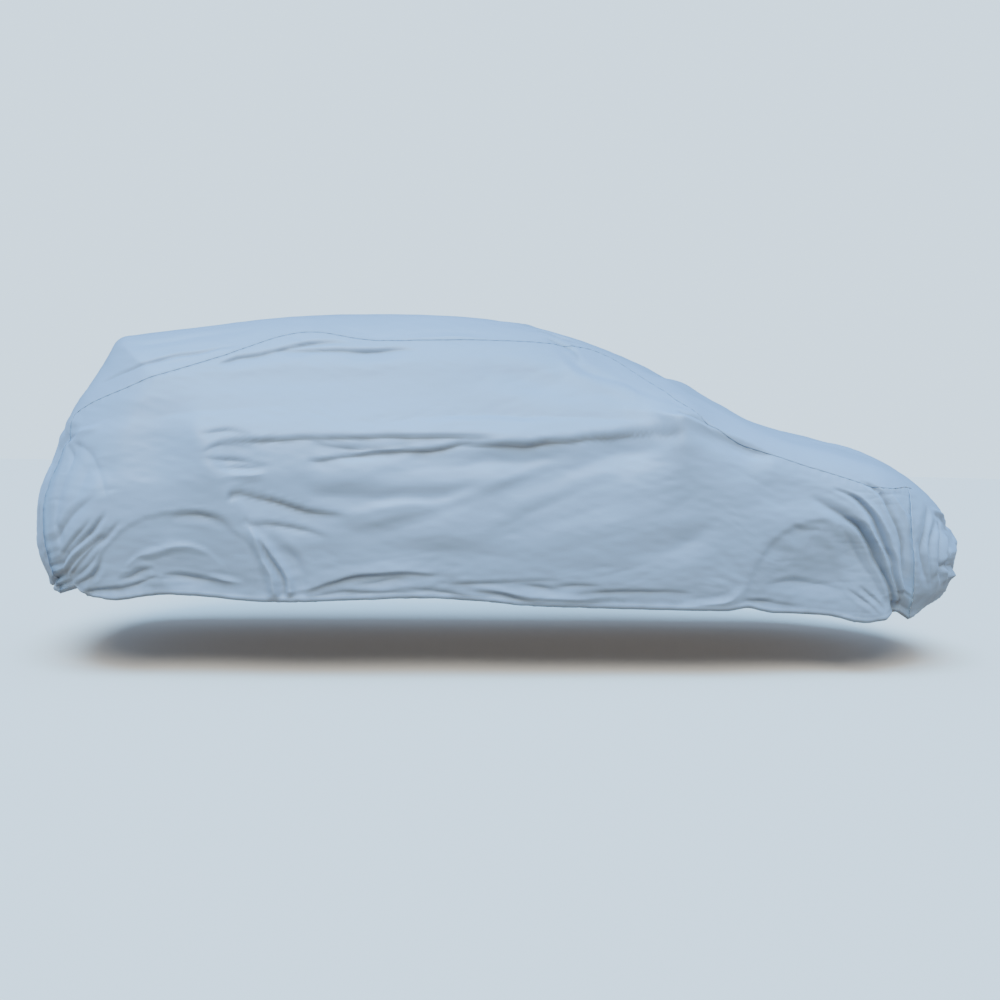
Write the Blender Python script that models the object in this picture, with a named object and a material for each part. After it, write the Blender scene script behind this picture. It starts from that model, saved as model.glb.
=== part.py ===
"""Fitted cloth cover over a small hatchback: a centre panel and two side panels, hanging as worn."""
import bpy
import numpy as np

# Driving sizes in metres. X runs to the front of the car, Y to its left and Z up. Every height in the
# tables is above the ground that the covered car stands on; ORIGIN then moves it all to the mount.
THICK = 0.002
GAP = 0.0005
ORIGIN = (-0.40, 0.0, 1.469)
STRIP_ROWS = 12

# Middle line of the covered car, from the tailgate's top to the nose: x, height
TOP_LINE = [(-2.2, 1.25), (-1.60, 1.334), (-1.20, 1.398), (-0.80, 1.452), (-0.40, 1.471), (0.0, 1.455),
            (0.26, 1.414), (0.50, 1.338), (0.75, 1.232), (1.00, 1.118), (1.20, 1.034), (1.50, 0.958),
            (1.80, 0.846), (2.05, 0.722), (2.30, 0.55)]
# Middle line of the tail and of the nose: height, x
TAIL_LINE = [(0.20, -1.80), (0.32, -1.855), (0.42, -1.895), (0.56, -1.918), (0.68, -1.910), (0.84, -1.850),
             (0.97, -1.812), (1.06, -1.762), (1.20, -1.667), (1.35, -1.590), (1.60, -1.46)]
NOSE_LINE = [(0.18, 1.95), (0.26, 2.01), (0.34, 2.08), (0.46, 2.112), (0.56, 2.090), (0.66, 2.045),
             (0.76, 1.97), (0.84, 1.90), (1.00, 1.74)]
# Half width of the covered car at its middle: height, y
FLANK = [(0.20, 0.815), (0.32, 0.838), (0.50, 0.862), (0.70, 0.868), (0.86, 0.862), (0.94, 0.845),
         (1.02, 0.800), (1.12, 0.748), (1.25, 0.682), (1.40, 0.610), (1.60, 0.52)]
# How the plan narrows, how the top is crowned and how round its edge is: x, share, crown, edge radius
PLAN = [(-2.10, 0.86, 0.16, 0.20), (-1.70, 0.93, 0.16, 0.18), (-1.30, 0.975, 0.16, 0.16),
        (-0.40, 1.0, 0.15, 0.17), (0.50, 1.0, 0.14, 0.16), (1.00, 0.99, 0.12, 0.12),
        (1.50, 0.955, 0.14, 0.14), (1.80, 0.90, 0.18, 0.20), (2.20, 0.80, 0.22, 0.26)]
TAIL_BOW, NOSE_BOW, SCREEN_BOW = 0.30, 0.56, 0.28

# Seam and middle of the centre panel, hem to hem: seam x, seam y, seam height, middle x, middle height
STRIP = [(-1.74, 0.62, 0.296, -1.84, 0.308), (-1.77, 0.63, 0.50, -1.90, 0.50),
         (-1.75, 0.63, 0.75, -1.87, 0.76), (-1.69, 0.59, 1.00, -1.79, 1.02),
         (-1.44, 0.71, 1.123, -1.59, 1.33), (-1.13, 0.67, 1.229, -1.24, 1.40),
         (-0.80, 0.59, 1.345, -0.80, 1.45), (-0.50, 0.63, 1.318, -0.50, 1.47),
         (0.14, 0.59, 1.335, 0.20, 1.43), (0.38, 0.53, 1.302, 0.47, 1.35), (0.56, 0.63, 1.190, 0.74, 1.23),
         (0.70, 0.75, 1.050, 0.98, 1.12), (0.84, 0.81, 0.957, 1.16, 1.05), (1.24, 0.82, 0.851, 1.46, 0.97),
         (1.51, 0.80, 0.771, 1.76, 0.87), (1.65, 0.71, 0.775, 1.92, 0.80), (1.64, 0.78, 0.62, 2.06, 0.61),
         (1.66, 0.78, 0.43, 2.10, 0.43), (1.70, 0.69, 0.206, 2.05, 0.288)]
TAIL_CORNER, NOSE_CORNER = 3, 15
TAIL_CELLS, TOP_CELLS, NOSE_CELLS = [4, 4, 5], [4, 4, 5, 4, 8, 4, 3, 3, 2, 5, 4, 2], [4, 4, 5]
# Hem of a side panel: x, height
HEM = [(-1.74, 0.296), (-1.67, 0.276), (-1.55, 0.276), (-1.30, 0.312), (-0.95, 0.294), (-0.30, 0.316),
       (0.10, 0.288), (0.70, 0.272), (0.87, 0.270), (0.95, 0.282), (1.05, 0.258), (1.33, 0.232),
       (1.50, 0.196), (1.70, 0.206)]

# Wheel arches that the cloth sinks into: x and height of the middle, radius, depth
ARCHES = [(-1.24, 0.29, 0.345, 0.030), (1.24, 0.29, 0.345, 0.020)]
# Door mirrors that push the cloth out: x, height and half width of the tip, reach, spread up, spread down
MIRROR = (0.66, 0.99, 0.80, 0.070, 0.15, 0.11)
# Folds of a side panel: depth (troughs below zero), width to the left of the path, width to its right,
# end that it fades at (0 both, 1 last, -1 first), path in x and height
SIDE_FOLDS = [
    (-0.016, 0.02, 0.10, 0, [(-1.20, 0.92), (-0.70, 0.900), (-0.20, 0.925), (0.20, 0.950), (0.64, 0.98)]),
    (0.008, 0.05, 0.03, 0, [(-1.16, 0.945), (-0.43, 0.93), (0.18, 0.98), (0.64, 1.01)]),
    (-0.012, 0.06, 0.08, 0, [(0.62, 0.95), (0.42, 0.88), (0.18, 0.80), (-0.10, 0.72)]),
    (-0.018, 0.04, 0.09, 0, [(-1.07, 0.71), (-0.88, 0.68), (-0.64, 0.62), (-0.34, 0.72), (-0.10, 0.78)]),
    (-0.010, 0.03, 0.06, 0, [(-1.02, 0.62), (-0.80, 0.57), (-0.60, 0.54), (-0.34, 0.61)]),
    (0.012, 0.05, 0.05, 0, [(-1.24, 1.02), (-1.19, 0.91), (-1.11, 0.76), (-1.04, 0.62)]),
    (0.012, 0.03, 0.05, -1, [(-1.01, 0.58), (-0.94, 0.46), (-0.90, 0.33)]),
    (-0.010, 0.04, 0.06, 0, [(-0.78, 0.335), (-0.61, 0.395), (-0.23, 0.42)]),
    (0.010, 0.03, 0.05, 0, [(-0.20, 0.355), (0.05, 0.33), (0.53, 0.345)]),
    (-0.008, 0.05, 0.07, 0, [(0.48, 0.49), (0.68, 0.54), (0.80, 0.61), (0.86, 0.69)]),
    (-0.022, 0.05, 0.06, 1, [(-1.77, 0.33), (-1.70, 0.44), (-1.62, 0.53), (-1.55, 0.62)]),
    (0.014, 0.04, 0.04, 1, [(-1.74, 0.31), (-1.66, 0.42), (-1.56, 0.51)]),
    (-0.026, 0.05, 0.06, -1, [(1.15, 0.74), (1.33, 0.66), (1.47, 0.54), (1.56, 0.38), (1.62, 0.25)]),
    (0.014, 0.04, 0.04, -1, [(1.36, 0.60), (1.46, 0.51), (1.54, 0.39), (1.60, 0.27)]),
    (-0.016, 0.03, 0.04, -1, [(1.42, 0.76), (1.52, 0.63), (1.58, 0.48), (1.64, 0.30)]),
    (-0.010, 0.04, 0.06, 0, [(-1.72, 0.93), (-1.74, 0.80), (-1.76, 0.65)]),
    (-0.014, 0.03, 0.06, 0, [(-1.13, 1.20), (-0.89, 1.265), (-0.62, 1.278), (-0.20, 1.285)]),
    (0.010, 0.03, 0.05, 0, [(0.20, 1.30), (0.29, 1.195), (0.45, 1.14), (0.66, 1.01)]),
]
# Folds of the nose and the tail, the same columns with the path in y and height
NOSE_FOLDS = [
    (-0.020, 0.04, 0.05, 0, [(-0.62, 0.72), (-0.58, 0.62), (-0.60, 0.50), (-0.55, 0.40)]),
    (0.014, 0.04, 0.04, 0, [(-0.52, 0.66), (-0.44, 0.55), (-0.46, 0.42)]),
    (-0.016, 0.05, 0.05, -1, [(-0.20, 0.62), (-0.10, 0.48), (-0.14, 0.33)]),
    (-0.018, 0.05, 0.05, -1, [(0.30, 0.60), (0.22, 0.45), (0.25, 0.32)]),
    (-0.020, 0.05, 0.05, -1, [(0.62, 0.66), (0.56, 0.50), (0.58, 0.33)]),
]
TAIL_FOLDS = [
    (-0.014, 0.05, 0.05, 0, [(-0.52, 0.93), (-0.20, 0.965), (0.25, 0.96), (0.50, 0.94)]),
    (-0.016, 0.05, 0.05, -1, [(-0.40, 0.62), (-0.46, 0.48), (-0.44, 0.34)]),
    (-0.014, 0.05, 0.05, -1, [(0.05, 0.58), (0.02, 0.46), (0.06, 0.35)]),
    (-0.018, 0.05, 0.05, -1, [(0.44, 0.64), (0.50, 0.50), (0.47, 0.34)]),
]
# Folds of the top, the same columns with the path in x and y
TOP_FOLDS = [
    (-0.012, 0.07, 0.10, 0, [(0.98, -0.60), (1.10, -0.22), (1.08, 0.25), (0.97, 0.62)]),
    (0.010, 0.05, 0.07, 0, [(0.64, -0.68), (0.80, -0.38), (0.98, -0.10)]),
    (0.009, 0.06, 0.05, 0, [(0.62, 0.66), (0.76, 0.40), (0.95, 0.22)]),
    (-0.008, 0.07, 0.06, 0, [(-1.50, -0.28), (-1.15, -0.34), (-0.70, -0.30)]),
    (-0.007, 0.06, 0.08, 0, [(-1.42, 0.36), (-1.00, 0.24), (-0.45, 0.33)]),
    (0.008, 0.05, 0.06, 0, [(1.28, -0.62), (1.52, -0.42), (1.80, -0.30)]),
    (0.007, 0.06, 0.05, 0, [(1.25, 0.60), (1.48, 0.35), (1.76, 0.18)]),
]
FAR_SHIFT, FAR_SHARE = (0.035, 0.0, -0.012), 0.85


def smooth(rows, at):
    """Smooth curve through a table's rows: first column in, every other column out."""
    rows = np.array(rows, float)
    u, v = rows[:, 0], rows[:, 1:]
    chord = np.diff(v, axis=0) / np.diff(u)[:, None]
    slope = np.vstack([chord[:1], (chord[:-1] + chord[1:]) / 2, chord[-1:]])
    flat = chord[:-1] * chord[1:] <= 0
    slope[1:-1][flat] *= 0.4
    at = np.clip(at, u[0], u[-1])
    k = np.clip(np.searchsorted(u, at) - 1, 0, len(u) - 2)
    h = (u[k + 1] - u[k])[..., None]
    t = ((at - u[k])[..., None]) / h
    out = (v[k] * (1 + 2 * t) * (1 - t) ** 2 + v[k + 1] * t * t * (3 - 2 * t)
           + slope[k] * h * t * (1 - t) ** 2 + slope[k + 1] * h * t * t * (t - 1))
    return out if out.shape[-1] > 1 else out[..., 0]


def rounded_max(a, b, r):
    """Two fields met at a round edge of radius r."""
    return np.minimum(np.maximum(a, b), -r) + np.hypot(np.maximum(a + r, 0), np.maximum(b + r, 0))


def car(p):
    """Distance-like field of the covered car: below zero inside, above zero outside."""
    x, y, z = p[..., 0], np.abs(p[..., 1]), p[..., 2]
    share, crown, radius = np.moveaxis(smooth(PLAN, x), -1, 0)
    along = x + SCREEN_BOW * y * y * np.clip((x + 0.2) / 0.6, 0, 1) * np.clip((1.7 - x) / 0.5, 0, 1)
    rise = (smooth(TOP_LINE, along + 0.01) - smooth(TOP_LINE, along - 0.01)) / 0.02
    top = (z - smooth(TOP_LINE, along) + crown * y * y) / np.sqrt(1 + rise * rise)
    lean = (smooth(TAIL_LINE, z + 0.01) - smooth(TAIL_LINE, z - 0.01)) / 0.02
    tail = (smooth(TAIL_LINE, z) + TAIL_BOW * y * y - x) / np.sqrt(1 + lean * lean)
    rake = (smooth(NOSE_LINE, z + 0.01) - smooth(NOSE_LINE, z - 0.01)) / 0.02
    nose = (x - smooth(NOSE_LINE, z) + NOSE_BOW * y * y) / np.sqrt(1 + rake * rake)
    tumble = (smooth(FLANK, z + 0.01) - smooth(FLANK, z - 0.01)) / 0.02
    side = (y - smooth(FLANK, z) * share) / np.sqrt(1 + tumble * tumble)
    length = rounded_max(rounded_max(top, tail, 0.03), nose, 0.07)
    return rounded_max(length, side, radius)


def gradient(field, p, step=0.002):
    """Slope of a field at each point."""
    out = np.empty_like(p)
    for i in range(3):
        d = np.zeros(3)
        d[i] = step
        out[..., i] = (field(p + d) - field(p - d)) / (2 * step)
    return out


def onto_car(p, rounds=14):
    """Each point moved square onto the covered car."""
    for _ in range(rounds):
        g = gradient(car, p)
        p = p - (car(p) / np.maximum((g * g).sum(-1), 0.1))[..., None] * g
    return p


def stretch(rows, cells):
    """Smooth run through some rows of STRIP with the asked number of cells between each two."""
    at = np.concatenate([[0.0]] + [i + np.arange(1, n + 1) / n for i, n in enumerate(cells)])
    both = smooth([(i, *row) for i, row in enumerate(rows)], at)
    middle = np.stack([both[:, 3], 0 * both[:, 3], both[:, 4]], -1)
    return onto_car(both[:, :3]), onto_car(middle)


def edges():
    """Seam and middle of the centre panel up the tail, along the top and down the nose."""
    a, b = TAIL_CORNER, NOSE_CORNER
    return (stretch(STRIP[:a + 1], TAIL_CELLS), stretch(STRIP[a:b + 1], TOP_CELLS),
            stretch(STRIP[b:], NOSE_CELLS))


def centre_points(runs):
    """Grid of the centre panel: stations from tail hem to nose hem, rows from the far seam to the near."""
    seam = np.concatenate([runs[0][0], runs[1][0][1:], runs[2][0][1:]])
    middle = np.concatenate([runs[0][1], runs[1][1][1:], runs[2][1][1:]])
    v = np.linspace(-1, 1, STRIP_ROWS + 1)
    p = middle[:, None] + (seam - middle)[:, None] * (np.abs(v) ** 2.6)[None, :, None]
    p[..., 1] = -seam[:, None, 1] * (np.sin(v * 1.35) / np.sin(1.35))[None, :]
    p[:, 1:-1] = onto_car(p[:, 1:-1])
    p[:, 0], p[:, -1] = seam, seam * (1, -1, 1)
    return p


def side_points(runs):
    """Grid of the far side panel: columns from the tail corner to the nose corner, rows down to the hem."""
    tail, top, nose = runs[0][0][::-1], runs[1][0], runs[2][0]
    a, b = np.linspace(0, 1, len(top)), np.linspace(0, 1, len(tail))
    hem_x = smooth([(0, tail[-1, 0]), (0.5, 0.02), (1, nose[-1, 0])], a)
    hem = onto_car(np.stack([hem_x, 0 * a + 0.83, smooth(HEM, hem_x)], -1))
    hem[0], hem[-1] = tail[-1], nose[-1]
    a, b = a[:, None, None], b[None, :, None]
    p = ((1 - b) * top[:, None] + b * hem[:, None] + (1 - a) * tail[None] + a * nose[None]
         - (1 - a) * (1 - b) * top[0] - a * (1 - b) * top[-1] - (1 - a) * b * hem[0] - a * b * hem[-1])
    p[1:-1, 1:-1] = onto_car(p[1:-1, 1:-1])
    return p


def normals(points):
    """Outward direction of the covered car at each point."""
    g = gradient(car, points)
    return g / np.linalg.norm(g, axis=-1, keepdims=True)


def crease(p, out, path, depth, left, right, fade):
    """Height of one soft fold at each point, seen from outside: its path runs with left on its left."""
    a, run = path[:-1], np.diff(path, axis=0)
    t = np.clip(((p[..., None, :] - a) * run).sum(-1) / (run * run).sum(-1), 0, 1)
    away = p[..., None, :] - a - t[..., None] * run
    gap = np.linalg.norm(away, axis=-1)
    k = gap.argmin(-1)[..., None]
    t, gap = (np.take_along_axis(q, k, -1)[..., 0] for q in (t + np.arange(len(a)), gap))
    away = np.take_along_axis(away, k[..., None], -2)[..., 0, :]
    side = (np.cross(run[k[..., 0]], away) * out).sum(-1)
    ends = np.ones_like(t)
    if fade <= 0:
        ends *= np.clip(t / (0.4 * len(a)), 0, 1)
    if fade >= 0:
        ends *= np.clip((len(a) - t) / (0.4 * len(a)), 0, 1)
    return depth * ends * (2 - ends) * np.exp(-(gap / np.where(side > 0, left, right)) ** 2)


def fold_lines():
    """Every fold as a path on the car with its depth, widths and fading end."""
    lines = []
    for depth, left, right, fade, path in SIDE_FOLDS:
        line = np.array([(x, -0.85, h) for x, h in path])
        lines.append((onto_car(line), depth, left, right, fade))
        lines.append((onto_car((line + FAR_SHIFT) * (1, -1, 1)), depth * FAR_SHARE, right, left, fade))
    for x0, rows in ((2.1, NOSE_FOLDS), (-1.9, TAIL_FOLDS)):
        for depth, left, right, fade, path in rows:
            line = np.array([(x0 - 0.5 * np.sign(x0) * y * y, y, h) for y, h in path])
            lines.append((onto_car(line), depth, left, right, fade))
    for depth, left, right, fade, path in TOP_FOLDS:
        line = np.array([(x, y, smooth(TOP_LINE, x)) for x, y in path])
        lines.append((onto_car(line), depth, left, right, fade))
    return lines


def relief(p, out, lines):
    """Height of the folds, arches, mirrors and slight unevenness at each point."""
    x, y, z = p[..., 0], p[..., 1], p[..., 2]
    total = 0.003 * np.sin(5.1 * x + 1.3 * np.sin(3 * z) + 4 * y) * np.sin(8.3 * z - 2.1 * x + 0.7)
    for x0, z0, r, depth in ARCHES:
        inside = np.clip((r - np.hypot(x - x0, z - z0)) / 0.06 + 0.5, 0, 1)
        total = total - depth * inside * inside * (3 - 2 * inside) * np.clip((np.abs(y) - 0.6) / 0.15, 0, 1)
    x0, z0, y0, reach, up, down = MIRROR
    spread = np.hypot(np.hypot(x - x0, np.abs(y) - y0) / 0.15, (z - z0) / np.where(z > z0, up, down))
    total += reach * np.exp(-spread ** 1.5)
    for line in lines:
        total += crease(p, out, *line)
    return total


def halves(points, quad):
    """Two triangles for one cell of a sheet, cut along its shorter diagonal."""
    a, b, c, d = quad
    if np.linalg.norm(points[a] - points[c]) <= np.linalg.norm(points[b] - points[d]):
        return (a, b, c), (a, c, d)
    return (a, b, d), (b, c, d)


def sheet(name, points, colour):
    """One closed sheet of cloth from a grid of points on the covered car."""
    m, n = points.shape[:2]
    out = normals(points)
    points = points + relief(points, out, LINES)[..., None] * out
    points = points + inset(points)
    outer = (points - ORIGIN).reshape(-1, 3)
    inner = outer - THICK * out.reshape(-1, 3)
    at = np.arange(m * n).reshape(m, n)
    cells = [(at[i, j], at[i + 1, j], at[i + 1, j + 1], at[i, j + 1]) for i in range(m - 1) for j in range(n - 1)]
    faces = [half for quad in cells for half in halves(outer, quad)]
    faces += [tuple(v + m * n for v in reversed(half)) for half in faces]
    rim = [*at[:, 0], *at[-1, 1:], *at[-2::-1, -1], *at[0, -2:0:-1]]
    for a, b in zip(rim, rim[1:] + rim[:1]):
        faces += [(b, a, a + m * n), (b, a + m * n, b + m * n)]
    mesh = bpy.data.meshes.new(name)
    mesh.from_pydata([*outer.tolist(), *inner.tolist()], [], [tuple(int(v) for v in f) for f in faces])
    mesh.validate()
    mesh.shade_smooth()
    mesh.materials.append(cloth(name, colour))
    obj = bpy.data.objects.new(name, mesh)
    bpy.context.scene.collection.objects.link(obj)
    return obj


def inset(points):
    """Small step inwards, in the cloth, for the points on a grid's rim: half of the gap at a seam."""
    step = np.zeros_like(points)
    for rim, near in ((np.s_[0], np.s_[1]), (np.s_[-1], np.s_[-2]), (np.s_[:, 0], np.s_[:, 1]),
                      (np.s_[:, -1], np.s_[:, -2])):
        d = points[near] - points[rim]
        step[rim] += d / np.linalg.norm(d, axis=-1, keepdims=True) * GAP / 2
    return step


def cloth(name, colour):
    """Plain coated cloth."""
    mat = bpy.data.materials.new(name + "_cloth")
    mat.use_nodes = True
    shader = mat.node_tree.nodes["Principled BSDF"]
    shader.inputs["Base Color"].default_value = (*colour, 1)
    shader.inputs["Roughness"].default_value = 0.5
    shader.inputs["Metallic"].default_value = 0.0
    return mat


for old in list(bpy.data.objects):
    bpy.data.objects.remove(old)
LINES = fold_lines()
runs = edges()
centre = centre_points(runs)
far = side_points(runs)
near = far[::-1] * (1, -1, 1)
sheet("centre_panel", centre[:, ::-1], (0.36, 0.47, 0.56))
sheet("side_panel_far", far, (0.34, 0.45, 0.54))
sheet("side_panel_near", near, (0.34, 0.45, 0.54))
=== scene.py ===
"""Fitted cloth cover over a small hatchback: the sewn panels with their folds, gathers, hem and seams."""

import math

import bpy
import numpy as np
from mathutils import Matrix, Vector


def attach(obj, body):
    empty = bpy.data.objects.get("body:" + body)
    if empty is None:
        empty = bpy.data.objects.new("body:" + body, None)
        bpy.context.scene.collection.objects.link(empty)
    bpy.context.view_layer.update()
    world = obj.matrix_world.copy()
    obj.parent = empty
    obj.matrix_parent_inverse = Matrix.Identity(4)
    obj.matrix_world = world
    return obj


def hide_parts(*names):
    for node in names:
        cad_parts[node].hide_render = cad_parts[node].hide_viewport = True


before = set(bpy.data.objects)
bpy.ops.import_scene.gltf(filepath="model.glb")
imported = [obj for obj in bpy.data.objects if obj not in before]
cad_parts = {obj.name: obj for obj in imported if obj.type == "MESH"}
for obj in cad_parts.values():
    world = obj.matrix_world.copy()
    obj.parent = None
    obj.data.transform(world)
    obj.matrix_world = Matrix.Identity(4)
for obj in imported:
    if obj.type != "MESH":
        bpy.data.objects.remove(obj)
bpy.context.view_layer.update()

# Sizes in metres. X runs to the front of the car, Y to its left, Z up, and every height in the tables is
# above the ground that the covered car stands on. ORIGIN is where the roof holds the cover up.
ORIGIN = np.array((-0.40, 0.0, 1.469))
CLOTH = 0.0016
HEM_BAND = 0.024
HEM_ROW = HEM_BAND - 0.003
SEAM_LAP, SEAM_ROW, EDGE_ROW = 0.0125, 0.0085, 0.0035
STITCH = 0.0045
THREADS_PER_METRE = 900.0
CRINKLE_SIZE = 0.16

# Middle line of the covered car, from the tailgate's top to the nose: x, height
TOP_LINE = [(-2.2, 1.25), (-1.60, 1.334), (-1.20, 1.398), (-0.80, 1.452), (-0.40, 1.471), (0.0, 1.455),
            (0.26, 1.414), (0.50, 1.338), (0.75, 1.232), (1.00, 1.118), (1.20, 1.034), (1.50, 0.958),
            (1.80, 0.846), (2.05, 0.722), (2.30, 0.55)]
# Middle line of the tail and of the nose: height, x
TAIL_LINE = [(0.20, -1.80), (0.32, -1.855), (0.42, -1.895), (0.56, -1.918), (0.68, -1.910), (0.84, -1.850),
             (0.97, -1.812), (1.06, -1.762), (1.20, -1.667), (1.35, -1.590), (1.60, -1.46)]
NOSE_LINE = [(0.18, 1.95), (0.26, 2.01), (0.34, 2.08), (0.46, 2.112), (0.56, 2.090), (0.66, 2.045),
             (0.76, 1.97), (0.84, 1.90), (1.00, 1.74)]
# Half width of the covered car at its middle: height, y
FLANK = [(0.20, 0.815), (0.32, 0.838), (0.50, 0.862), (0.70, 0.868), (0.86, 0.862), (0.94, 0.845),
         (1.02, 0.800), (1.12, 0.748), (1.25, 0.682), (1.40, 0.610), (1.60, 0.52)]
# How the plan narrows, how the top is crowned and how round its edge is: x, share, crown, edge radius
PLAN = [(-2.10, 0.86, 0.16, 0.20), (-1.70, 0.93, 0.16, 0.18), (-1.30, 0.975, 0.16, 0.16),
        (-0.40, 1.0, 0.15, 0.17), (0.50, 1.0, 0.14, 0.16), (1.00, 0.99, 0.12, 0.12),
        (1.50, 0.955, 0.14, 0.14), (1.80, 0.90, 0.18, 0.20), (2.20, 0.80, 0.22, 0.26)]
TAIL_BOW, NOSE_BOW, SCREEN_BOW = 0.30, 0.56, 0.28

# Seam and middle of the centre panel, hem to hem: seam x, seam y, seam height, middle x, middle height
STRIP = [(-1.74, 0.62, 0.296, -1.84, 0.308), (-1.77, 0.63, 0.50, -1.90, 0.50),
         (-1.75, 0.63, 0.75, -1.87, 0.76), (-1.69, 0.59, 1.00, -1.79, 1.02),
         (-1.44, 0.71, 1.123, -1.59, 1.33), (-1.13, 0.67, 1.229, -1.24, 1.40),
         (-0.80, 0.59, 1.345, -0.80, 1.45), (-0.50, 0.63, 1.318, -0.50, 1.47),
         (0.14, 0.59, 1.335, 0.20, 1.43), (0.38, 0.53, 1.302, 0.47, 1.35), (0.56, 0.63, 1.190, 0.74, 1.23),
         (0.70, 0.75, 1.050, 0.98, 1.12), (0.84, 0.81, 0.957, 1.16, 1.05), (1.24, 0.82, 0.851, 1.46, 0.97),
         (1.51, 0.80, 0.771, 1.76, 0.87), (1.65, 0.71, 0.775, 1.92, 0.80), (1.64, 0.78, 0.62, 2.06, 0.61),
         (1.66, 0.78, 0.43, 2.10, 0.43), (1.70, 0.69, 0.214, 2.05, 0.288)]
TAIL_CORNER, NOSE_CORNER = 3, 15
TAIL_CELLS, TOP_CELLS, NOSE_CELLS = [4, 4, 5], [4, 4, 5, 4, 8, 4, 3, 3, 2, 5, 4, 2], [4, 4, 5]
# Hem of a side panel: x, height
HEM = [(-1.74, 0.296), (-1.67, 0.276), (-1.55, 0.276), (-1.30, 0.312), (-0.95, 0.294), (-0.30, 0.316),
       (0.10, 0.288), (0.70, 0.272), (0.87, 0.270), (0.95, 0.282), (1.05, 0.258), (1.33, 0.232),
       (1.50, 0.200), (1.70, 0.214)]

# Wheel arches that the cloth sinks into: x and height of the middle, radius of the lip toward the tail, at the
# top and toward the nose, depth, how much of a shelf the cloth makes across the wheel, how far in x the lip
# shows, and how wide the cloth bends over it
ARCHES = [(-1.24, 0.29, 0.362, 0.352, 0.326, 0.031, 0.10, 0.50, 0.008),
          (1.24, 0.29, 0.312, 0.356, 0.300, 0.046, 0.0, 0.12, 0.024)]
# Door mirrors that push the cloth out: x, height and half width of the tip, reach, spread up, spread down
MIRROR = (0.66, 0.99, 0.80, 0.070, 0.15, 0.11)

# Broad hollows and swellings of the flanks: x, height, half length, half height, depth
HOLLOWS = [(-1.44, 0.90, 0.26, 0.15, 0.034), (1.18, 0.79, 0.26, 0.11, 0.022), (-0.30, 0.46, 0.60, 0.16, 0.010),
           (1.40, 0.44, 0.16, 0.13, 0.016)]

# Soft waves of the whole cover: length along x, y and z, seed, height, share of it left on what faces up
WAVES = [(0.50, 0.50, 0.34, 3, 0.0020, 1.0), (0.60, 0.24, 0.11, 5, 0.0013, 0.4),
         (0.09, 0.07, 0.035, 8, 0.0004, 1.0)]
# Fine drag lines of the cloth, the first five columns as above, and how much they slant along the doors
DRAG_LINES = [(1.2, 0.5, 0.16, 31, 0.0024), (0.8, 0.4, 0.09, 32, 0.0017), (0.7, 0.4, 0.055, 34, 0.0011),
              (0.5, 0.3, 0.3, 33, 0.0012)]
DRAG_SLANT = 0.24
# How a fold is shaped: root radius, how much its depth varies on its way, and the swelling beside it, as a share
# of its depth, how many widths off and how many widths wide
ROOT, VARIES, BESIDE = 0.003, 0.25, (0.22, 2.2, 0.9)
# Folds no softer than SHARP and as deep as DEEP take the whole of the shade painted along the folds' cores, over a
# narrow width
SHARP, DEEP, SHADE_WIDTH = 1.1, 0.014, 0.008

# Folds, each a row: depth (troughs below zero), width to the left of its path and width to its right as
# seen from outside, sharpness (2 soft, 1 creased), end that it fades at (0 both, 1 last, -1 first), path.
# Those of a side panel have their paths in x and height.
BELT_FOLDS = [
    (-0.014, 0.005, 0.055, 1.0, 0, [(-1.12, 0.906), (-0.99, 0.903), (-0.88, 0.915), (-0.7, 0.922), (-0.43, 0.93),
        (-0.2, 0.941), (-0.04, 0.938)]),
    (-0.009, 0.006, 0.024, 1.0, 0, [(-0.77, 0.908), (-0.7, 0.894), (-0.58, 0.888), (-0.45, 0.895), (-0.36, 0.922)]),
    (0.007, 0.012, 0.01, 1.2, 0, [(-0.62, 0.873), (-0.55, 0.882), (-0.47, 0.888), (-0.41, 0.892)]),
    (-0.013, 0.005, 0.036, 1.0, 0, [(-0.79, 0.84), (-0.73, 0.837), (-0.64, 0.854), (-0.55, 0.867), (-0.43, 0.877),
        (-0.34, 0.879), (-0.26, 0.896), (-0.19, 0.916), (-0.11, 0.937)]),
    (-0.019, 0.006, 0.06, 1.0, 0, [(-0.24, 0.914), (-0.11, 0.91), (0.03, 0.909), (0.12, 0.923), (0.26, 0.937),
        (0.42, 0.956), (0.52, 0.968), (0.6, 0.975)]),
    (-0.012, 0.028, 0.09, 1.5, 0, [(0.28, 0.925), (0.46, 0.945), (0.62, 0.955), (0.8, 0.93), (0.94, 0.897),
        (1.04, 0.872)]),
    (-0.009, 0.03, 0.03, 1.4, 0, [(-0.54, 0.792), (-0.43, 0.801), (-0.32, 0.818), (-0.13, 0.841), (0.07, 0.852),
        (0.25, 0.885)]),
    (-0.006, 0.036, 0.014, 1.2, 0, [(-0.43, 0.999), (-0.32, 1.013), (-0.16, 1.025), (0.03, 1.026), (0.23, 1.022),
        (0.43, 1.015), (0.59, 1.015)]),
    (-0.014, 0.045, 0.13, 1.6, 0, [(-0.64, 0.835), (-0.3, 0.85), (0.0, 0.848), (0.25, 0.866), (0.45, 0.888),
        (0.64, 0.9)]),
    (-0.018, 0.06, 0.1, 1.7, 0, [(0.64, 0.965), (0.58, 0.94), (0.42, 0.88), (0.18, 0.8), (-0.06, 0.73)]),
]
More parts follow.
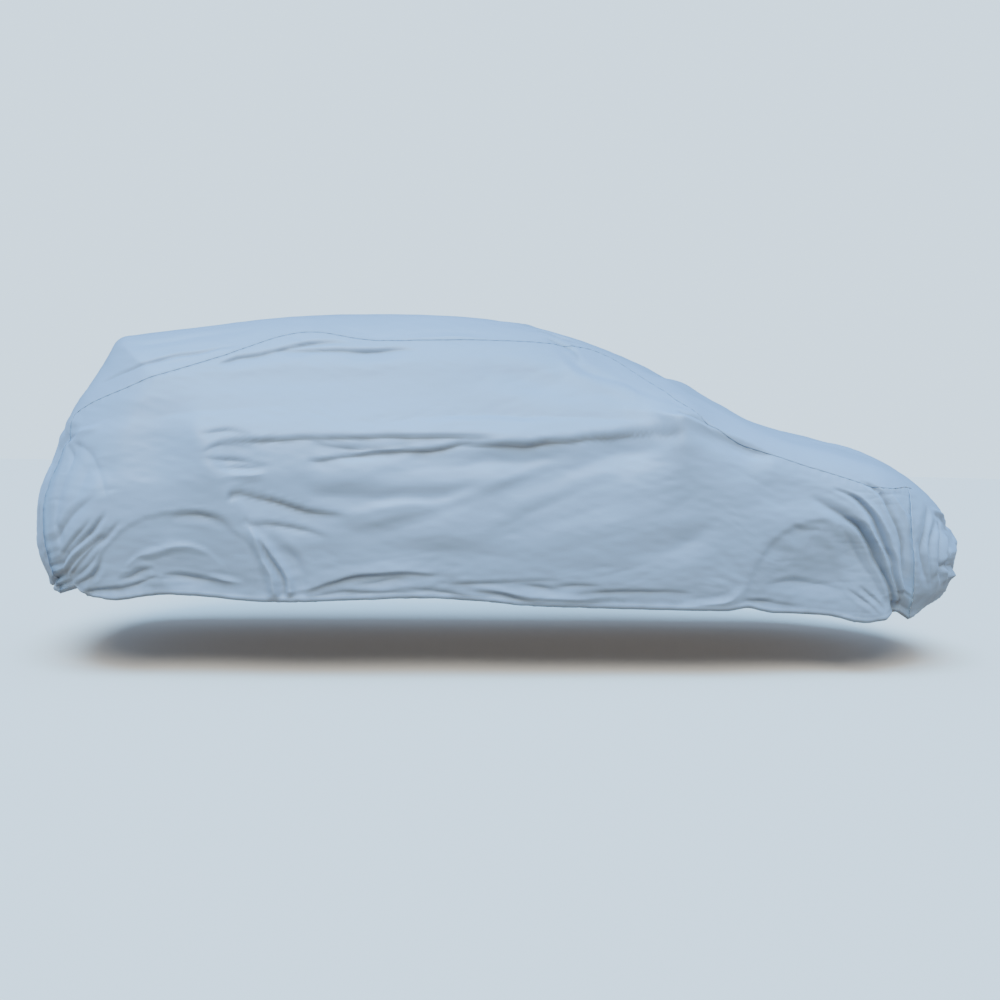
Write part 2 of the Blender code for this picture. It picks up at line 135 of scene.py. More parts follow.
DOOR_FOLDS = [
    (-0.013, 0.006, 0.045, 1.0, 0, [(-1.06, 0.677), (-1.065, 0.698), (-1.03, 0.708), (-0.95, 0.69), (-0.84, 0.666),
        (-0.73, 0.641), (-0.61, 0.625)]),
    (-0.012, 0.024, 0.036, 1.3, 0, [(-0.79, 0.712), (-0.66, 0.704), (-0.5, 0.7), (-0.33, 0.701), (-0.23, 0.716),
        (-0.12, 0.766)]),
    (0.009, 0.018, 0.026, 1.3, 0, [(-0.68, 0.626), (-0.5, 0.66), (-0.4, 0.68), (-0.28, 0.692), (-0.14, 0.733)]),
    (-0.005, 0.016, 0.05, 1.3, 0, [(-0.31, 0.621), (-0.05, 0.735), (0.18, 0.818), (0.42, 0.88)]),
    (-0.006, 0.02, 0.06, 1.4, 0, [(-0.12, 0.547), (0.18, 0.703), (0.5, 0.824)]),
    (-0.009, 0.006, 0.03, 1.0, 0, [(-1.01, 0.622), (-0.99, 0.592), (-0.92, 0.589), (-0.84, 0.587), (-0.77, 0.573),
        (-0.68, 0.54)]),
    (-0.007, 0.02, 0.05, 1.4, 0, [(-0.63, 0.555), (-0.5, 0.572), (-0.37, 0.605), (-0.26, 0.644)]),
    (-0.006, 0.006, 0.02, 1.0, 0, [(-1.19, 0.93), (-1.12, 0.942), (-1.07, 0.943), (-0.98, 0.93)]),
    (-0.006, 0.006, 0.018, 1.0, 0, [(-1.18, 0.858), (-1.12, 0.885), (-1.09, 0.89), (-0.97, 0.884)]),
    (-0.007, 0.006, 0.018, 1.0, 0, [(-1.19, 0.842), (-1.1, 0.834), (-1.03, 0.831), (-0.9, 0.817)]),
    (-0.006, 0.006, 0.014, 1.0, 0, [(-1.14, 0.804), (-1.01, 0.805), (-0.93, 0.815)]),
    (0.004, 0.008, 0.009, 1.1, 0, [(-1.11, 0.785), (-1.03, 0.779), (-0.93, 0.789)]),
    (0.0035, 0.008, 0.009, 1.1, 0, [(-1.11, 0.763), (-1.03, 0.767), (-0.94, 0.78)]),
    (-0.009, 0.04, 0.04, 1.5, 0, [(0.46, 0.484), (0.6, 0.504), (0.68, 0.537), (0.74, 0.573), (0.82, 0.65)]),
    (0.005, 0.07, 0.06, 2.0, 0, [(0.3, 0.56), (0.52, 0.64), (0.7, 0.78)]),
    (-0.005, 0.08, 0.09, 2.0, 0, [(-0.2, 0.56), (0.1, 0.62), (0.45, 0.76)]),
]
QUARTER_FOLDS = [
    (0.009, 0.06, 0.09, 1.9, 0, [(-1.22, 1.06), (-1.17, 0.945), (-1.14, 0.796), (-1.08, 0.69), (-1.03, 0.6)]),
    (-0.008, 0.06, 0.03, 1.6, 0, [(-1.18, 1.01), (-1.12, 0.9), (-1.07, 0.81), (-1.02, 0.7)]),
    (-0.006, 0.06, 0.06, 2.0, 0, [(-1.56, 0.84), (-1.54, 0.77), (-1.51, 0.7)]),
    (-0.015, 0.012, 0.034, 1.2, 0, [(-1.66, 0.934), (-1.71, 0.908), (-1.75, 0.865), (-1.78, 0.798), (-1.79, 0.74)]),
    (-0.011, 0.03, 0.04, 1.4, 0, [(-1.65, 0.897), (-1.69, 0.783), (-1.72, 0.669), (-1.74, 0.554)]),
    (-0.008, 0.03, 0.044, 1.5, 0, [(-1.6, 0.879), (-1.62, 0.748), (-1.67, 0.596)]),
    (-0.009, 0.016, 0.024, 1.3, 0, [(-1.75, 0.667), (-1.76, 0.552), (-1.76, 0.451)]),
    (-0.006, 0.016, 0.02, 1.4, 0, [(-1.72, 0.593), (-1.71, 0.499)]),
    (-0.005, 0.1, 0.1, 2.0, 0, [(-1.4, 1.06), (-1.34, 0.9), (-1.38, 0.74)]),
]
ARCH_FOLDS = [
    (-0.009, 0.008, 0.016, 1.1, 0, [(-1.29, 0.621), (-1.25, 0.625), (-1.19, 0.626), (-1.14, 0.62), (-1.09, 0.605),
        (-1.05, 0.576)]),
    (0.008, 0.008, 0.011, 1.0, 0, [(-1.46, 0.407), (-1.43, 0.441), (-1.4, 0.469), (-1.36, 0.484), (-1.31, 0.496),
        (-1.27, 0.505), (-1.22, 0.505), (-1.17, 0.491), (-1.12, 0.462)]),
    (0.004, 0.007, 0.008, 1.0, 0, [(-1.38, 0.495), (-1.34, 0.507), (-1.3, 0.519), (-1.27, 0.524), (-1.22, 0.518)]),
    (-0.008, 0.009, 0.02, 1.1, 0, [(-1.49, 0.371), (-1.44, 0.384), (-1.4, 0.404), (-1.35, 0.428)]),
    (-0.009, 0.006, 0.016, 1.0, 0, [(-1.57, 0.326), (-1.5, 0.337), (-1.43, 0.35), (-1.39, 0.366), (-1.33, 0.39)]),
    (-0.008, 0.008, 0.02, 1.1, 0, [(-1.32, 0.39), (-1.27, 0.391), (-1.19, 0.38), (-1.14, 0.37), (-1.04, 0.353)]),
    (0.006, 0.01, 0.012, 1.1, 0, [(-1.15, 0.388), (-1.12, 0.381), (-1.08, 0.37), (-1.01, 0.366)]),
    (0.013, 0.011, 0.014, 1.0, -1, [(-1.02, 0.599), (-0.98, 0.562), (-0.96, 0.517), (-0.94, 0.46), (-0.91, 0.391),
        (-0.9, 0.33)]),
    (-0.011, 0.008, 0.01, 1.0, -1, [(-0.96, 0.54), (-0.93, 0.5), (-0.9, 0.443), (-0.865, 0.384), (-0.86, 0.335)]),
    (0.011, 0.01, 0.013, 1.0, -1, [(-0.97, 0.566), (-0.94, 0.532), (-0.91, 0.495), (-0.88, 0.449), (-0.85, 0.396),
        (-0.84, 0.34)]),
    (-0.009, 0.014, 0.034, 1.3, -1, [(-0.92, 0.56), (-0.86, 0.5), (-0.81, 0.44), (-0.79, 0.37)]),
    (-0.007, 0.024, 0.03, 1.5, 0, [(1.0, 0.552), (1.04, 0.528), (1.07, 0.513), (1.14, 0.497)]),
    (-0.003, 0.016, 0.02, 1.5, 0, [(1.19, 0.552), (1.24, 0.538), (1.3, 0.506)]),
    (-0.005, 0.01, 0.03, 1.3, 0, [(1.11, 0.618), (1.17, 0.593), (1.24, 0.598)]),
    (-0.007, 0.01, 0.022, 1.2, 0, [(1.02, 0.372), (1.12, 0.384), (1.2, 0.381), (1.38, 0.352)]),
    (-0.007, 0.006, 0.014, 1.0, 0, [(0.93, 0.318), (0.98, 0.311), (1.04, 0.303), (1.17, 0.283)]),
]
HEM_FOLDS = [
    (0.005, 0.018, 0.008, 1.1, 0, [(-0.86, 0.326), (-0.78, 0.354), (-0.69, 0.38), (-0.61, 0.402), (-0.5, 0.418),
        (-0.35, 0.422), (-0.2, 0.424)]),
    (-0.008, 0.005, 0.022, 1.0, 0, [(-0.82, 0.322), (-0.73, 0.355), (-0.67, 0.373), (-0.61, 0.392), (-0.5, 0.403),
        (-0.36, 0.406), (-0.22, 0.41)]),
    (-0.006, 0.006, 0.014, 1.0, 0, [(-0.6, 0.366), (-0.52, 0.376), (-0.46, 0.388), (-0.37, 0.394)]),
    (-0.006, 0.006, 0.016, 1.0, 0, [(-0.3, 0.384), (-0.16, 0.375), (0.0, 0.381), (0.22, 0.391)]),
    (-0.009, 0.006, 0.012, 1.0, 0, [(-0.18, 0.354), (-0.1, 0.34), (-0.02, 0.329), (0.04, 0.314), (0.12, 0.304)]),
    (0.007, 0.009, 0.01, 1.0, 0, [(-0.14, 0.364), (0.0, 0.341), (0.12, 0.324), (0.24, 0.321), (0.36, 0.324),
        (0.54, 0.334)]),
    (-0.007, 0.006, 0.012, 1.0, 0, [(0.02, 0.37), (0.12, 0.362), (0.19, 0.354)]),
    (-0.006, 0.006, 0.014, 1.0, 0, [(0.16, 0.36), (0.25, 0.371), (0.37, 0.372)]),
    (-0.006, 0.005, 0.012, 1.0, 0, [(-0.78, 0.32), (-0.66, 0.336), (-0.52, 0.338), (-0.36, 0.334)]),
    (-0.006, 0.005, 0.012, 1.0, 0, [(0.24, 0.338), (0.4, 0.345), (0.58, 0.35), (0.74, 0.34)]),
    (-0.005, 0.005, 0.01, 1.0, 0, [(-0.44, 0.352), (-0.3, 0.344), (-0.18, 0.33), (-0.06, 0.316)]),
    (-0.006, 0.03, 0.05, 1.6, 0, [(0.2, 0.3), (0.5, 0.318), (0.8, 0.33)]),
    (-0.005, 0.03, 0.05, 1.6, 0, [(-0.6, 0.47), (-0.3, 0.5), (0.05, 0.47), (0.4, 0.43)]),
    (0.008, 0.012, 0.016, 1.2, 0, [(0.66, 0.29), (0.76, 0.294), (0.84, 0.307), (0.9, 0.331), (0.94, 0.38)]),
]
TAIL_GATHERS = [
    (-0.012, 0.006, 0.01, 1.0, 1, [(-1.76, 0.33), (-1.71, 0.413), (-1.66, 0.479), (-1.59, 0.543), (-1.55, 0.586),
        (-1.52, 0.631)]),
    (0.007, 0.009, 0.009, 1.0, 1, [(-1.75, 0.32), (-1.7, 0.4), (-1.645, 0.467), (-1.575, 0.535)]),
    (-0.011, 0.006, 0.009, 1.0, 1, [(-1.74, 0.322), (-1.69, 0.391), (-1.63, 0.458), (-1.56, 0.522), (-1.51, 0.568)]),
    (0.006, 0.009, 0.009, 1.0, 1, [(-1.73, 0.322), (-1.67, 0.395), (-1.605, 0.47), (-1.54, 0.54)]),
    (-0.01, 0.006, 0.01, 1.0, 1, [(-1.72, 0.323), (-1.65, 0.403), (-1.58, 0.484), (-1.51, 0.55), (-1.47, 0.599)]),
    (-0.008, 0.006, 0.01, 1.0, 1, [(-1.68, 0.324), (-1.6, 0.375), (-1.56, 0.412), (-1.53, 0.474)]),
    (-0.008, 0.005, 0.009, 1.0, 1, [(-1.73, 0.4), (-1.69, 0.47), (-1.63, 0.545), (-1.58, 0.6)]),
    (-0.007, 0.005, 0.008, 1.0, 1, [(-1.7, 0.33), (-1.63, 0.392), (-1.57, 0.452), (-1.52, 0.52)]),
    (-0.006, 0.006, 0.01, 1.0, 1, [(-1.64, 0.3), (-1.57, 0.33), (-1.47, 0.352)]),
    (-0.008, 0.01, 0.024, 1.1, 0, [(-1.79, 0.43), (-1.71, 0.537), (-1.64, 0.635), (-1.56, 0.694)]),
    (-0.004, 0.007, 0.01, 1.2, 0, [(-1.72, 0.9), (-1.68, 0.84), (-1.69, 0.783)]),
    (-0.003, 0.007, 0.014, 1.2, 0, [(-1.71, 0.897), (-1.62, 0.86), (-1.55, 0.769), (-1.52, 0.676)]),
    (0.006, 0.01, 0.012, 1.1, 0, [(-1.72, 0.915), (-1.64, 0.938), (-1.56, 0.965)]),
]
NOSE_GATHERS = [
    (-0.018, 0.014, 0.026, 1.1, -1, [(1.19, 0.732), (1.29, 0.69), (1.39, 0.631), (1.44, 0.563), (1.49, 0.483),
        (1.54, 0.401), (1.58, 0.318), (1.61, 0.255)]),
    (-0.011, 0.006, 0.009, 1.0, -1, [(1.32, 0.672), (1.405, 0.615), (1.452, 0.553), (1.5, 0.473), (1.548, 0.393),
        (1.585, 0.315), (1.61, 0.255)]),
    (0.012, 0.009, 0.01, 1.0, -1, [(1.32, 0.69), (1.42, 0.634), (1.472, 0.566), (1.523, 0.483), (1.565, 0.401),
        (1.6, 0.317)]),
    (-0.015, 0.007, 0.011, 1.0, -1, [(1.29, 0.773), (1.38, 0.734), (1.45, 0.663), (1.51, 0.564), (1.548, 0.483),
        (1.585, 0.38), (1.615, 0.294)]),
    (0.011, 0.009, 0.01, 1.0, -1, [(1.39, 0.754), (1.475, 0.672), (1.535, 0.572), (1.574, 0.483), (1.608, 0.365)]),
    (-0.015, 0.007, 0.01, 1.0, 0, [(1.41, 0.802), (1.49, 0.755), (1.545, 0.664), (1.588, 0.564), (1.605, 0.474),
        (1.625, 0.359)]),
    (0.01, 0.01, 0.01, 1.0, 0, [(1.52, 0.783), (1.58, 0.692), (1.615, 0.604), (1.63, 0.482)]),
    (-0.017, 0.018, 0.036, 1.3, 0, [(1.32, 0.622), (1.39, 0.531), (1.45, 0.442), (1.51, 0.352), (1.57, 0.275)]),
    (-0.007, 0.005, 0.009, 1.0, 0, [(1.43, 0.369), (1.49, 0.319), (1.56, 0.267)]),
    (-0.006, 0.005, 0.009, 1.0, 0, [(1.38, 0.361), (1.45, 0.311), (1.52, 0.26)]),
]
PILLAR_FOLDS = [
    (-0.013, 0.005, 0.028, 1.0, 0, [(-1.13, 1.203), (-1.09, 1.214), (-1.05, 1.227), (-0.97, 1.246), (-0.88, 1.269),
        (-0.82, 1.287), (-0.78, 1.296), (-0.71, 1.3), (-0.6, 1.294)]),
    (-0.014, 0.006, 0.036, 1.0, 0, [(-0.92, 1.262), (-0.78, 1.27), (-0.67, 1.268), (-0.61, 1.266), (-0.51, 1.273),
        (-0.36, 1.28)]),
    (0.005, 0.014, 0.01, 1.1, 0, [(-0.42, 1.326), (-0.27, 1.334), (-0.06, 1.336)]),
    (-0.008, 0.004, 0.007, 1.0, 0, [(-1.6, 1.115), (-1.52, 1.155), (-1.43, 1.19), (-1.3, 1.23), (-1.17, 1.255),
        (-1.06, 1.272)]),
    (0.009, 0.018, 0.026, 1.2, 0, [(0.2, 1.255), (0.27, 1.192), (0.36, 1.167), (0.44, 1.14), (0.52, 1.102),
        (0.62, 1.052)]),
    (-0.008, 0.022, 0.022, 1.4, 0, [(0.2, 1.33), (0.28, 1.24), (0.36, 1.19), (0.5, 1.125)]),
    (-0.01, 0.008, 0.014, 1.0, 0, [(0.14, 1.39), (0.18, 1.383), (0.23, 1.362), (0.3, 1.337)]),
    (-0.01, 0.008, 0.016, 1.0, 0, [(0.17, 1.352), (0.19, 1.345), (0.26, 1.317), (0.28, 1.296), (0.29, 1.25)]),
    (-0.012, 0.01, 0.07, 1.2, 0, [(0.66, 0.99), (0.8, 0.953), (0.88, 0.935), (0.97, 0.909), (1.06, 0.885)]),
    (0.007, 0.016, 0.01, 1.1, 0, [(0.57, 1.019), (0.62, 0.998), (0.68, 0.984), (0.8, 0.966), (0.92, 0.94)]),
    (-0.012, 0.008, 0.01, 1.0, 0, [(0.64, 1.025), (0.69, 1.006), (0.75, 0.987), (0.81, 0.966)]),
    (-0.009, 0.01, 0.018, 1.1, 0, [(0.55, 0.972), (0.61, 0.952), (0.68, 0.955)]),
    (-0.006, 0.03, 0.04, 1.6, 0, [(0.6, 1.12), (0.66, 1.06), (0.7, 1.01)]),
    (0.005, 0.02, 0.024, 1.4, 0, [(0.44, 1.06), (0.54, 1.04), (0.64, 1.0)]),
    (-0.005, 0.05, 0.05, 2.0, 0, [(-0.1, 1.2), (0.2, 1.14), (0.48, 1.06)]),
    (-0.005, 0.06, 0.06, 2.0, 0, [(-0.9, 1.15), (-0.5, 1.11), (0.0, 1.12)]),
]
SIDE_FOLDS = (BELT_FOLDS + DOOR_FOLDS + QUARTER_FOLDS + ARCH_FOLDS + HEM_FOLDS + TAIL_GATHERS + NOSE_GATHERS
              + PILLAR_FOLDS)
# Folds of the nose and of the tail, the same columns with their paths in y and height
NOSE_FOLDS = [
    (-0.013, 0.018, 0.022, 1.1, 0, [(-0.685, 0.72), (-0.735, 0.601), (-0.755, 0.5), (-0.7, 0.351)]),
    (0.006, 0.013, 0.013, 1.1, 0, [(-0.672, 0.705), (-0.722, 0.59), (-0.738, 0.49), (-0.695, 0.36)]),
    (-0.008, 0.009, 0.014, 1.0, 0, [(-0.66, 0.64), (-0.705, 0.579), (-0.718, 0.477), (-0.685, 0.349)]),
    (0.01, 0.018, 0.018, 1.3, 0, [(-0.645, 0.6), (-0.683, 0.565), (-0.694, 0.475), (-0.66, 0.36)]),
    (-0.016, 0.009, 0.013, 1.0, 0, [(-0.63, 0.658), (-0.66, 0.555), (-0.67, 0.473), (-0.64, 0.366)]),
    (0.012, 0.02, 0.016, 1.2, 0, [(-0.61, 0.59), (-0.63, 0.545), (-0.64, 0.46), (-0.61, 0.37)]),
    (-0.014, 0.011, 0.016, 1.1, 0, [(-0.6, 0.573), (-0.605, 0.502), (-0.6, 0.425), (-0.585, 0.368)]),
    (0.01, 0.01, 0.014, 1.1, 0, [(-0.67, 0.701), (-0.56, 0.676), (-0.51, 0.649)]),
    (-0.01, 0.009, 0.014, 1.0, 0, [(-0.66, 0.67), (-0.6, 0.66), (-0.54, 0.63)]),
    (-0.01, 0.01, 0.014, 1.0, 0, [(-0.7, 0.395), (-0.66, 0.442), (-0.63, 0.461), (-0.58, 0.468)]),
    (-0.012, 0.013, 0.016, 1.1, 0, [(-0.66, 0.455), (-0.56, 0.44), (-0.44, 0.425), (-0.3, 0.395)]),
    (0.01, 0.02, 0.018, 1.3, 0, [(-0.64, 0.51), (-0.54, 0.5), (-0.36, 0.52), (-0.12, 0.545)]),
    (-0.012, 0.013, 0.016, 1.1, 0, [(-0.62, 0.625), (-0.52, 0.606), (-0.36, 0.625), (-0.08, 0.64)]),
    (0.01, 0.014, 0.014, 1.2, 0, [(-0.66, 0.385), (-0.54, 0.393), (-0.46, 0.38), (-0.38, 0.35)]),
    (-0.016, 0.026, 0.04, 1.3, 0, [(-0.44, 0.66), (-0.38, 0.54), (-0.42, 0.42), (-0.36, 0.3)]),
    (0.012, 0.022, 0.028, 1.3, -1, [(-0.34, 0.62), (-0.3, 0.48), (-0.32, 0.3)]),
    (-0.015, 0.02, 0.036, 1.3, -1, [(-0.22, 0.6), (-0.16, 0.46), (-0.2, 0.29)]),
    (0.009, 0.03, 0.026, 1.4, -1, [(-0.06, 0.56), (-0.08, 0.42), (-0.04, 0.29)]),
    (-0.013, 0.022, 0.03, 1.3, -1, [(0.1, 0.58), (0.05, 0.44), (0.1, 0.29)]),
    (0.009, 0.028, 0.026, 1.4, -1, [(0.24, 0.56), (0.2, 0.42), (0.22, 0.29)]),
    (-0.015, 0.022, 0.036, 1.3, -1, [(0.4, 0.64), (0.34, 0.48), (0.38, 0.28)]),
    (0.011, 0.018, 0.026, 1.3, 0, [(0.52, 0.66), (0.5, 0.52), (0.54, 0.36)]),
    (-0.017, 0.018, 0.026, 1.2, -1, [(0.64, 0.7), (0.6, 0.52), (0.62, 0.3)]),
    (-0.009, 0.014, 0.044, 1.3, 0, [(-0.5, 0.7), (-0.2, 0.66), (0.1, 0.67), (0.42, 0.71)]),
]
TAIL_FOLDS = [
    (-0.013, 0.016, 0.06, 1.3, 0, [(-0.56, 0.94), (-0.25, 0.965), (0.2, 0.96), (0.54, 0.945)]),
    (0.007, 0.026, 0.018, 1.4, 0, [(-0.58, 0.975), (-0.2, 0.995), (0.22, 0.99), (0.56, 0.98)]),
    (-0.014, 0.018, 0.03, 1.2, -1, [(-0.5, 0.64), (-0.54, 0.48), (-0.52, 0.31)]),
    (0.01, 0.02, 0.022, 1.3, -1, [(-0.42, 0.58), (-0.45, 0.45), (-0.43, 0.31)]),
    (-0.014, 0.02, 0.028, 1.3, -1, [(-0.32, 0.62), (-0.34, 0.46), (-0.3, 0.31)]),
    (0.009, 0.024, 0.026, 1.4, -1, [(-0.2, 0.54), (-0.19, 0.42), (-0.21, 0.31)]),
    (-0.012, 0.022, 0.03, 1.3, -1, [(-0.06, 0.6), (-0.09, 0.45), (-0.08, 0.31)]),
    (0.009, 0.022, 0.028, 1.4, -1, [(0.08, 0.52), (0.06, 0.42), (0.05, 0.31)]),
    (-0.014, 0.02, 0.032, 1.3, -1, [(0.22, 0.62), (0.19, 0.46), (0.22, 0.31)]),
    (0.01, 0.022, 0.026, 1.3, -1, [(0.36, 0.56), (0.34, 0.44), (0.35, 0.31)]),
    (-0.015, 0.018, 0.026, 1.2, -1, [(0.5, 0.64), (0.52, 0.48), (0.49, 0.31)]),
    (-0.007, 0.06, 0.07, 2.0, 0, [(-0.46, 1.28), (-0.4, 1.15), (-0.44, 1.02)]),
    (-0.007, 0.06, 0.07, 2.0, 0, [(0.36, 1.26), (0.42, 1.12), (0.38, 1.0)]),
    (0.006, 0.07, 0.07, 2.0, 0, [(-0.1, 1.25), (0.02, 1.12), (-0.05, 0.9)]),
    (-0.006, 0.012, 0.03, 1.3, 0, [(-0.5, 0.8), (-0.2, 0.77), (0.15, 0.79), (0.46, 0.76)]),
]
# Folds of the top, the same columns with their paths in x and y
TOP_FOLDS = [
    (-0.011, 0.07, 0.1, 2.0, 0, [(0.98, -0.6), (1.1, -0.22), (1.08, 0.25), (0.97, 0.62)]),
    (0.009, 0.034, 0.05, 1.5, 0, [(0.64, -0.68), (0.8, -0.38), (0.98, -0.1)]),
    (0.008, 0.05, 0.034, 1.5, 0, [(0.62, 0.66), (0.76, 0.4), (0.95, 0.22)]),
    (-0.007, 0.04, 0.03, 1.5, 0, [(0.6, -0.6), (0.72, -0.36), (0.88, -0.16)]),
    (-0.007, 0.03, 0.04, 1.5, 0, [(0.58, 0.6), (0.7, 0.36), (0.84, 0.22)]),
    (-0.007, 0.06, 0.05, 1.8, 0, [(-1.5, -0.28), (-1.15, -0.34), (-0.7, -0.3)]),
    (-0.006, 0.05, 0.07, 1.8, 0, [(-1.42, 0.36), (-1.0, 0.24), (-0.45, 0.33)]),
    (0.007, 0.04, 0.05, 1.6, 0, [(1.28, -0.62), (1.52, -0.42), (1.8, -0.3)]),
    (0.006, 0.05, 0.04, 1.6, 0, [(1.25, 0.6), (1.48, 0.35), (1.76, 0.18)]),
    (-0.006, 0.03, 0.04, 1.6, 0, [(1.2, -0.66), (1.4, -0.52), (1.66, -0.46)]),
    (-0.005, 0.04, 0.03, 1.6, 0, [(1.22, 0.66), (1.42, 0.5), (1.64, 0.44)]),
    (-0.005, 0.06, 0.06, 2.0, 0, [(0.24, -0.46), (0.3, -0.1), (0.26, 0.4)]),
    (0.005, 0.03, 0.03, 1.6, 0, [(-0.02, -0.5), (0.12, -0.3), (0.16, 0.06)]),
    (-0.005, 0.014, 0.022, 1.4, 0, [(-1.56, -0.56), (-1.42, -0.62), (-1.17, -0.61), (-1.0, -0.6)]),
]
FAR_SHIFT, FAR_SHARE = np.array((0.035, 0.0, -0.012)), 0.85


def smooth(rows, at):
    """Smooth curve through a table's rows: first column in, every other column out."""
    rows = np.array(rows, float)
    u, v = rows[:, 0], rows[:, 1:]
    chord = np.diff(v, axis=0) / np.diff(u)[:, None]
    slope = np.vstack([chord[:1], (chord[:-1] + chord[1:]) / 2, chord[-1:]])
    slope[1:-1][chord[:-1] * chord[1:] <= 0] *= 0.4
    at = np.clip(at, u[0], u[-1])
    k = np.clip(np.searchsorted(u, at) - 1, 0, len(u) - 2)
    h = (u[k + 1] - u[k])[..., None]
    t = ((at - u[k])[..., None]) / h
    out = (v[k] * (1 + 2 * t) * (1 - t) ** 2 + v[k + 1] * t * t * (3 - 2 * t)
           + slope[k] * h * t * (1 - t) ** 2 + slope[k + 1] * h * t * t * (t - 1))
    return out if out.shape[-1] > 1 else out[..., 0]


def ease(value, low, high):
    """Smooth step from 0 at low to 1 at high."""
    t = np.clip((value - low) / (high - low), 0, 1)
    return t * t * (3 - 2 * t)


def rounded_max(a, b, r):
    """Two fields met at a round edge of radius r."""
    return np.minimum(np.maximum(a, b), -r) + np.hypot(np.maximum(a + r, 0), np.maximum(b + r, 0))


def leaned(rows, z):
    """A table's curve at z and how much longer its slope makes a step."""
    slope = (smooth(rows, z + 0.01) - smooth(rows, z - 0.01)) / 0.02
    return smooth(rows, z), np.sqrt(1 + slope * slope)


def car(p):
    """Distance-like field of the covered car: below zero inside, above zero outside."""
    x, y, z = p[..., 0], np.abs(p[..., 1]), p[..., 2]
    share, crown, radius = np.moveaxis(smooth(PLAN, x), -1, 0)
    along = x + SCREEN_BOW * y * y * np.clip((x + 0.2) / 0.6, 0, 1) * np.clip((1.7 - x) / 0.5, 0, 1)
    height, steep = leaned(TOP_LINE, along)
    top = (z - height + crown * y * y) / steep
    back, steep = leaned(TAIL_LINE, z)
    tail = (back + TAIL_BOW * y * y - x) / steep
    front, steep = leaned(NOSE_LINE, z)
    nose = (x - front + NOSE_BOW * y * y) / steep
    wide, steep = leaned(FLANK, z)
    side = (y - wide * share) / steep
    return rounded_max(rounded_max(rounded_max(top, tail, 0.03), nose, 0.07), side, radius)


def slope_of(p, here, step=0.002):
    """Slope of the car's field at each point."""
    return np.stack([(car(p + step * axis) - here) / step for axis in np.eye(3)], -1)


def onto_car(p, rounds=6):
    """Each point moved square onto the covered car."""
    for _ in range(rounds):
        here = car(p)
        g = slope_of(p, here)
        p = p - (here / np.maximum((g * g).sum(-1), 0.1))[..., None] * g
    return p


def outward(p):
    """Outward direction of the covered car at each point."""
    g = slope_of(p, car(p))
    return g / np.linalg.norm(g, axis=-1, keepdims=True)


def stretch(rows, cells, count):
    """Smooth run through some rows of STRIP, in count cells spaced as the cells between each two ask."""
    coarse = np.concatenate([[0.0]] + [i + np.arange(1, n + 1) / n for i, n in enumerate(cells)])
    at = np.interp(np.linspace(0, len(coarse) - 1, count + 1), np.arange(len(coarse)), coarse)
    both = smooth([(i, *row) for i, row in enumerate(rows)], at)
    middle = np.stack([both[:, 3], 0 * both[:, 3], both[:, 4]], -1)
    return onto_car(both[:, :3], 10), onto_car(middle, 10)


def fractions(length, near_start, near_end, middle):
    """Shares of a length with fine steps at both ends: lists of distances there, and a count between."""
    a, b = near_start[-1] / length, 1 - near_end[-1] / length
    return np.concatenate([np.array(near_start[:-1]) / length, np.linspace(a, b, middle + 1),
                           1 - np.array(near_end[:-1])[::-1] / length])


def closer(shares, spans):
    """Shares of a length drawn closer together over some spans: from, to, how much closer. Both ends stay."""
    fine, (first, last) = np.linspace(0, 1, 2001), (shares[0], shares[-1])
    weight = 1 + sum(more * ease(fine, low - 0.04, low) * (1 - ease(fine, high, high + 0.04))
                     for low, high, more in spans)
    walked = np.concatenate([[0.0], np.cumsum((weight[1:] + weight[:-1]) / 2)])
    return first + (last - first) * np.interp((shares - first) / (last - first), walked / walked[-1], fine)


def lengths(points, axis):
    """Distance walked along a grid's lines from their first point."""
    step = np.linalg.norm(np.diff(points, axis=axis), axis=-1)
    start = np.zeros_like(np.take(step, [0], axis=axis))
    return np.concatenate([start, np.cumsum(step, axis=axis)], axis=axis)


SEAM_STEPS, HEM_STEPS = [0.0, 0.004, 0.008, 0.012, 0.017], [0.0, 0.003, 0.007, 0.012, 0.017, 0.021, 0.025, 0.031]


def centre_grid():
    """Base points of the centre panel: stations from tail hem to nose hem, rows from the near seam to the far."""
    a, b = TAIL_CORNER, NOSE_CORNER
    runs = (stretch(STRIP[:a + 1], TAIL_CELLS, 66), stretch(STRIP[a:b + 1], TOP_CELLS, 256),
            stretch(STRIP[b:], NOSE_CELLS, 76))
    seam = np.concatenate([runs[0][0], runs[1][0][1:], runs[2][0][1:]])
    middle = np.concatenate([runs[0][1], runs[1][1][1:], runs[2][1][1:]])
    v = fractions(1.5, SEAM_STEPS, SEAM_STEPS, 104)
    inner = slice(len(SEAM_STEPS) - 1, 1 - len(SEAM_STEPS))
    v[inner] = closer(v[inner], [(0.0, 0.18, 1.5), (0.86, 1.0, 0.4)])
    v = v * 2 - 1
    p = middle[:, None] + (seam - middle)[:, None] * (np.abs(v) ** 2.6)[None, :, None]
    p[..., 1] = seam[:, None, 1] * (np.sin(v * 1.35) / np.sin(1.35))[None, :]
    p = onto_car(p)
    p[:, 0], p[:, -1] = seam * (1, -1, 1), seam
    return p, runs


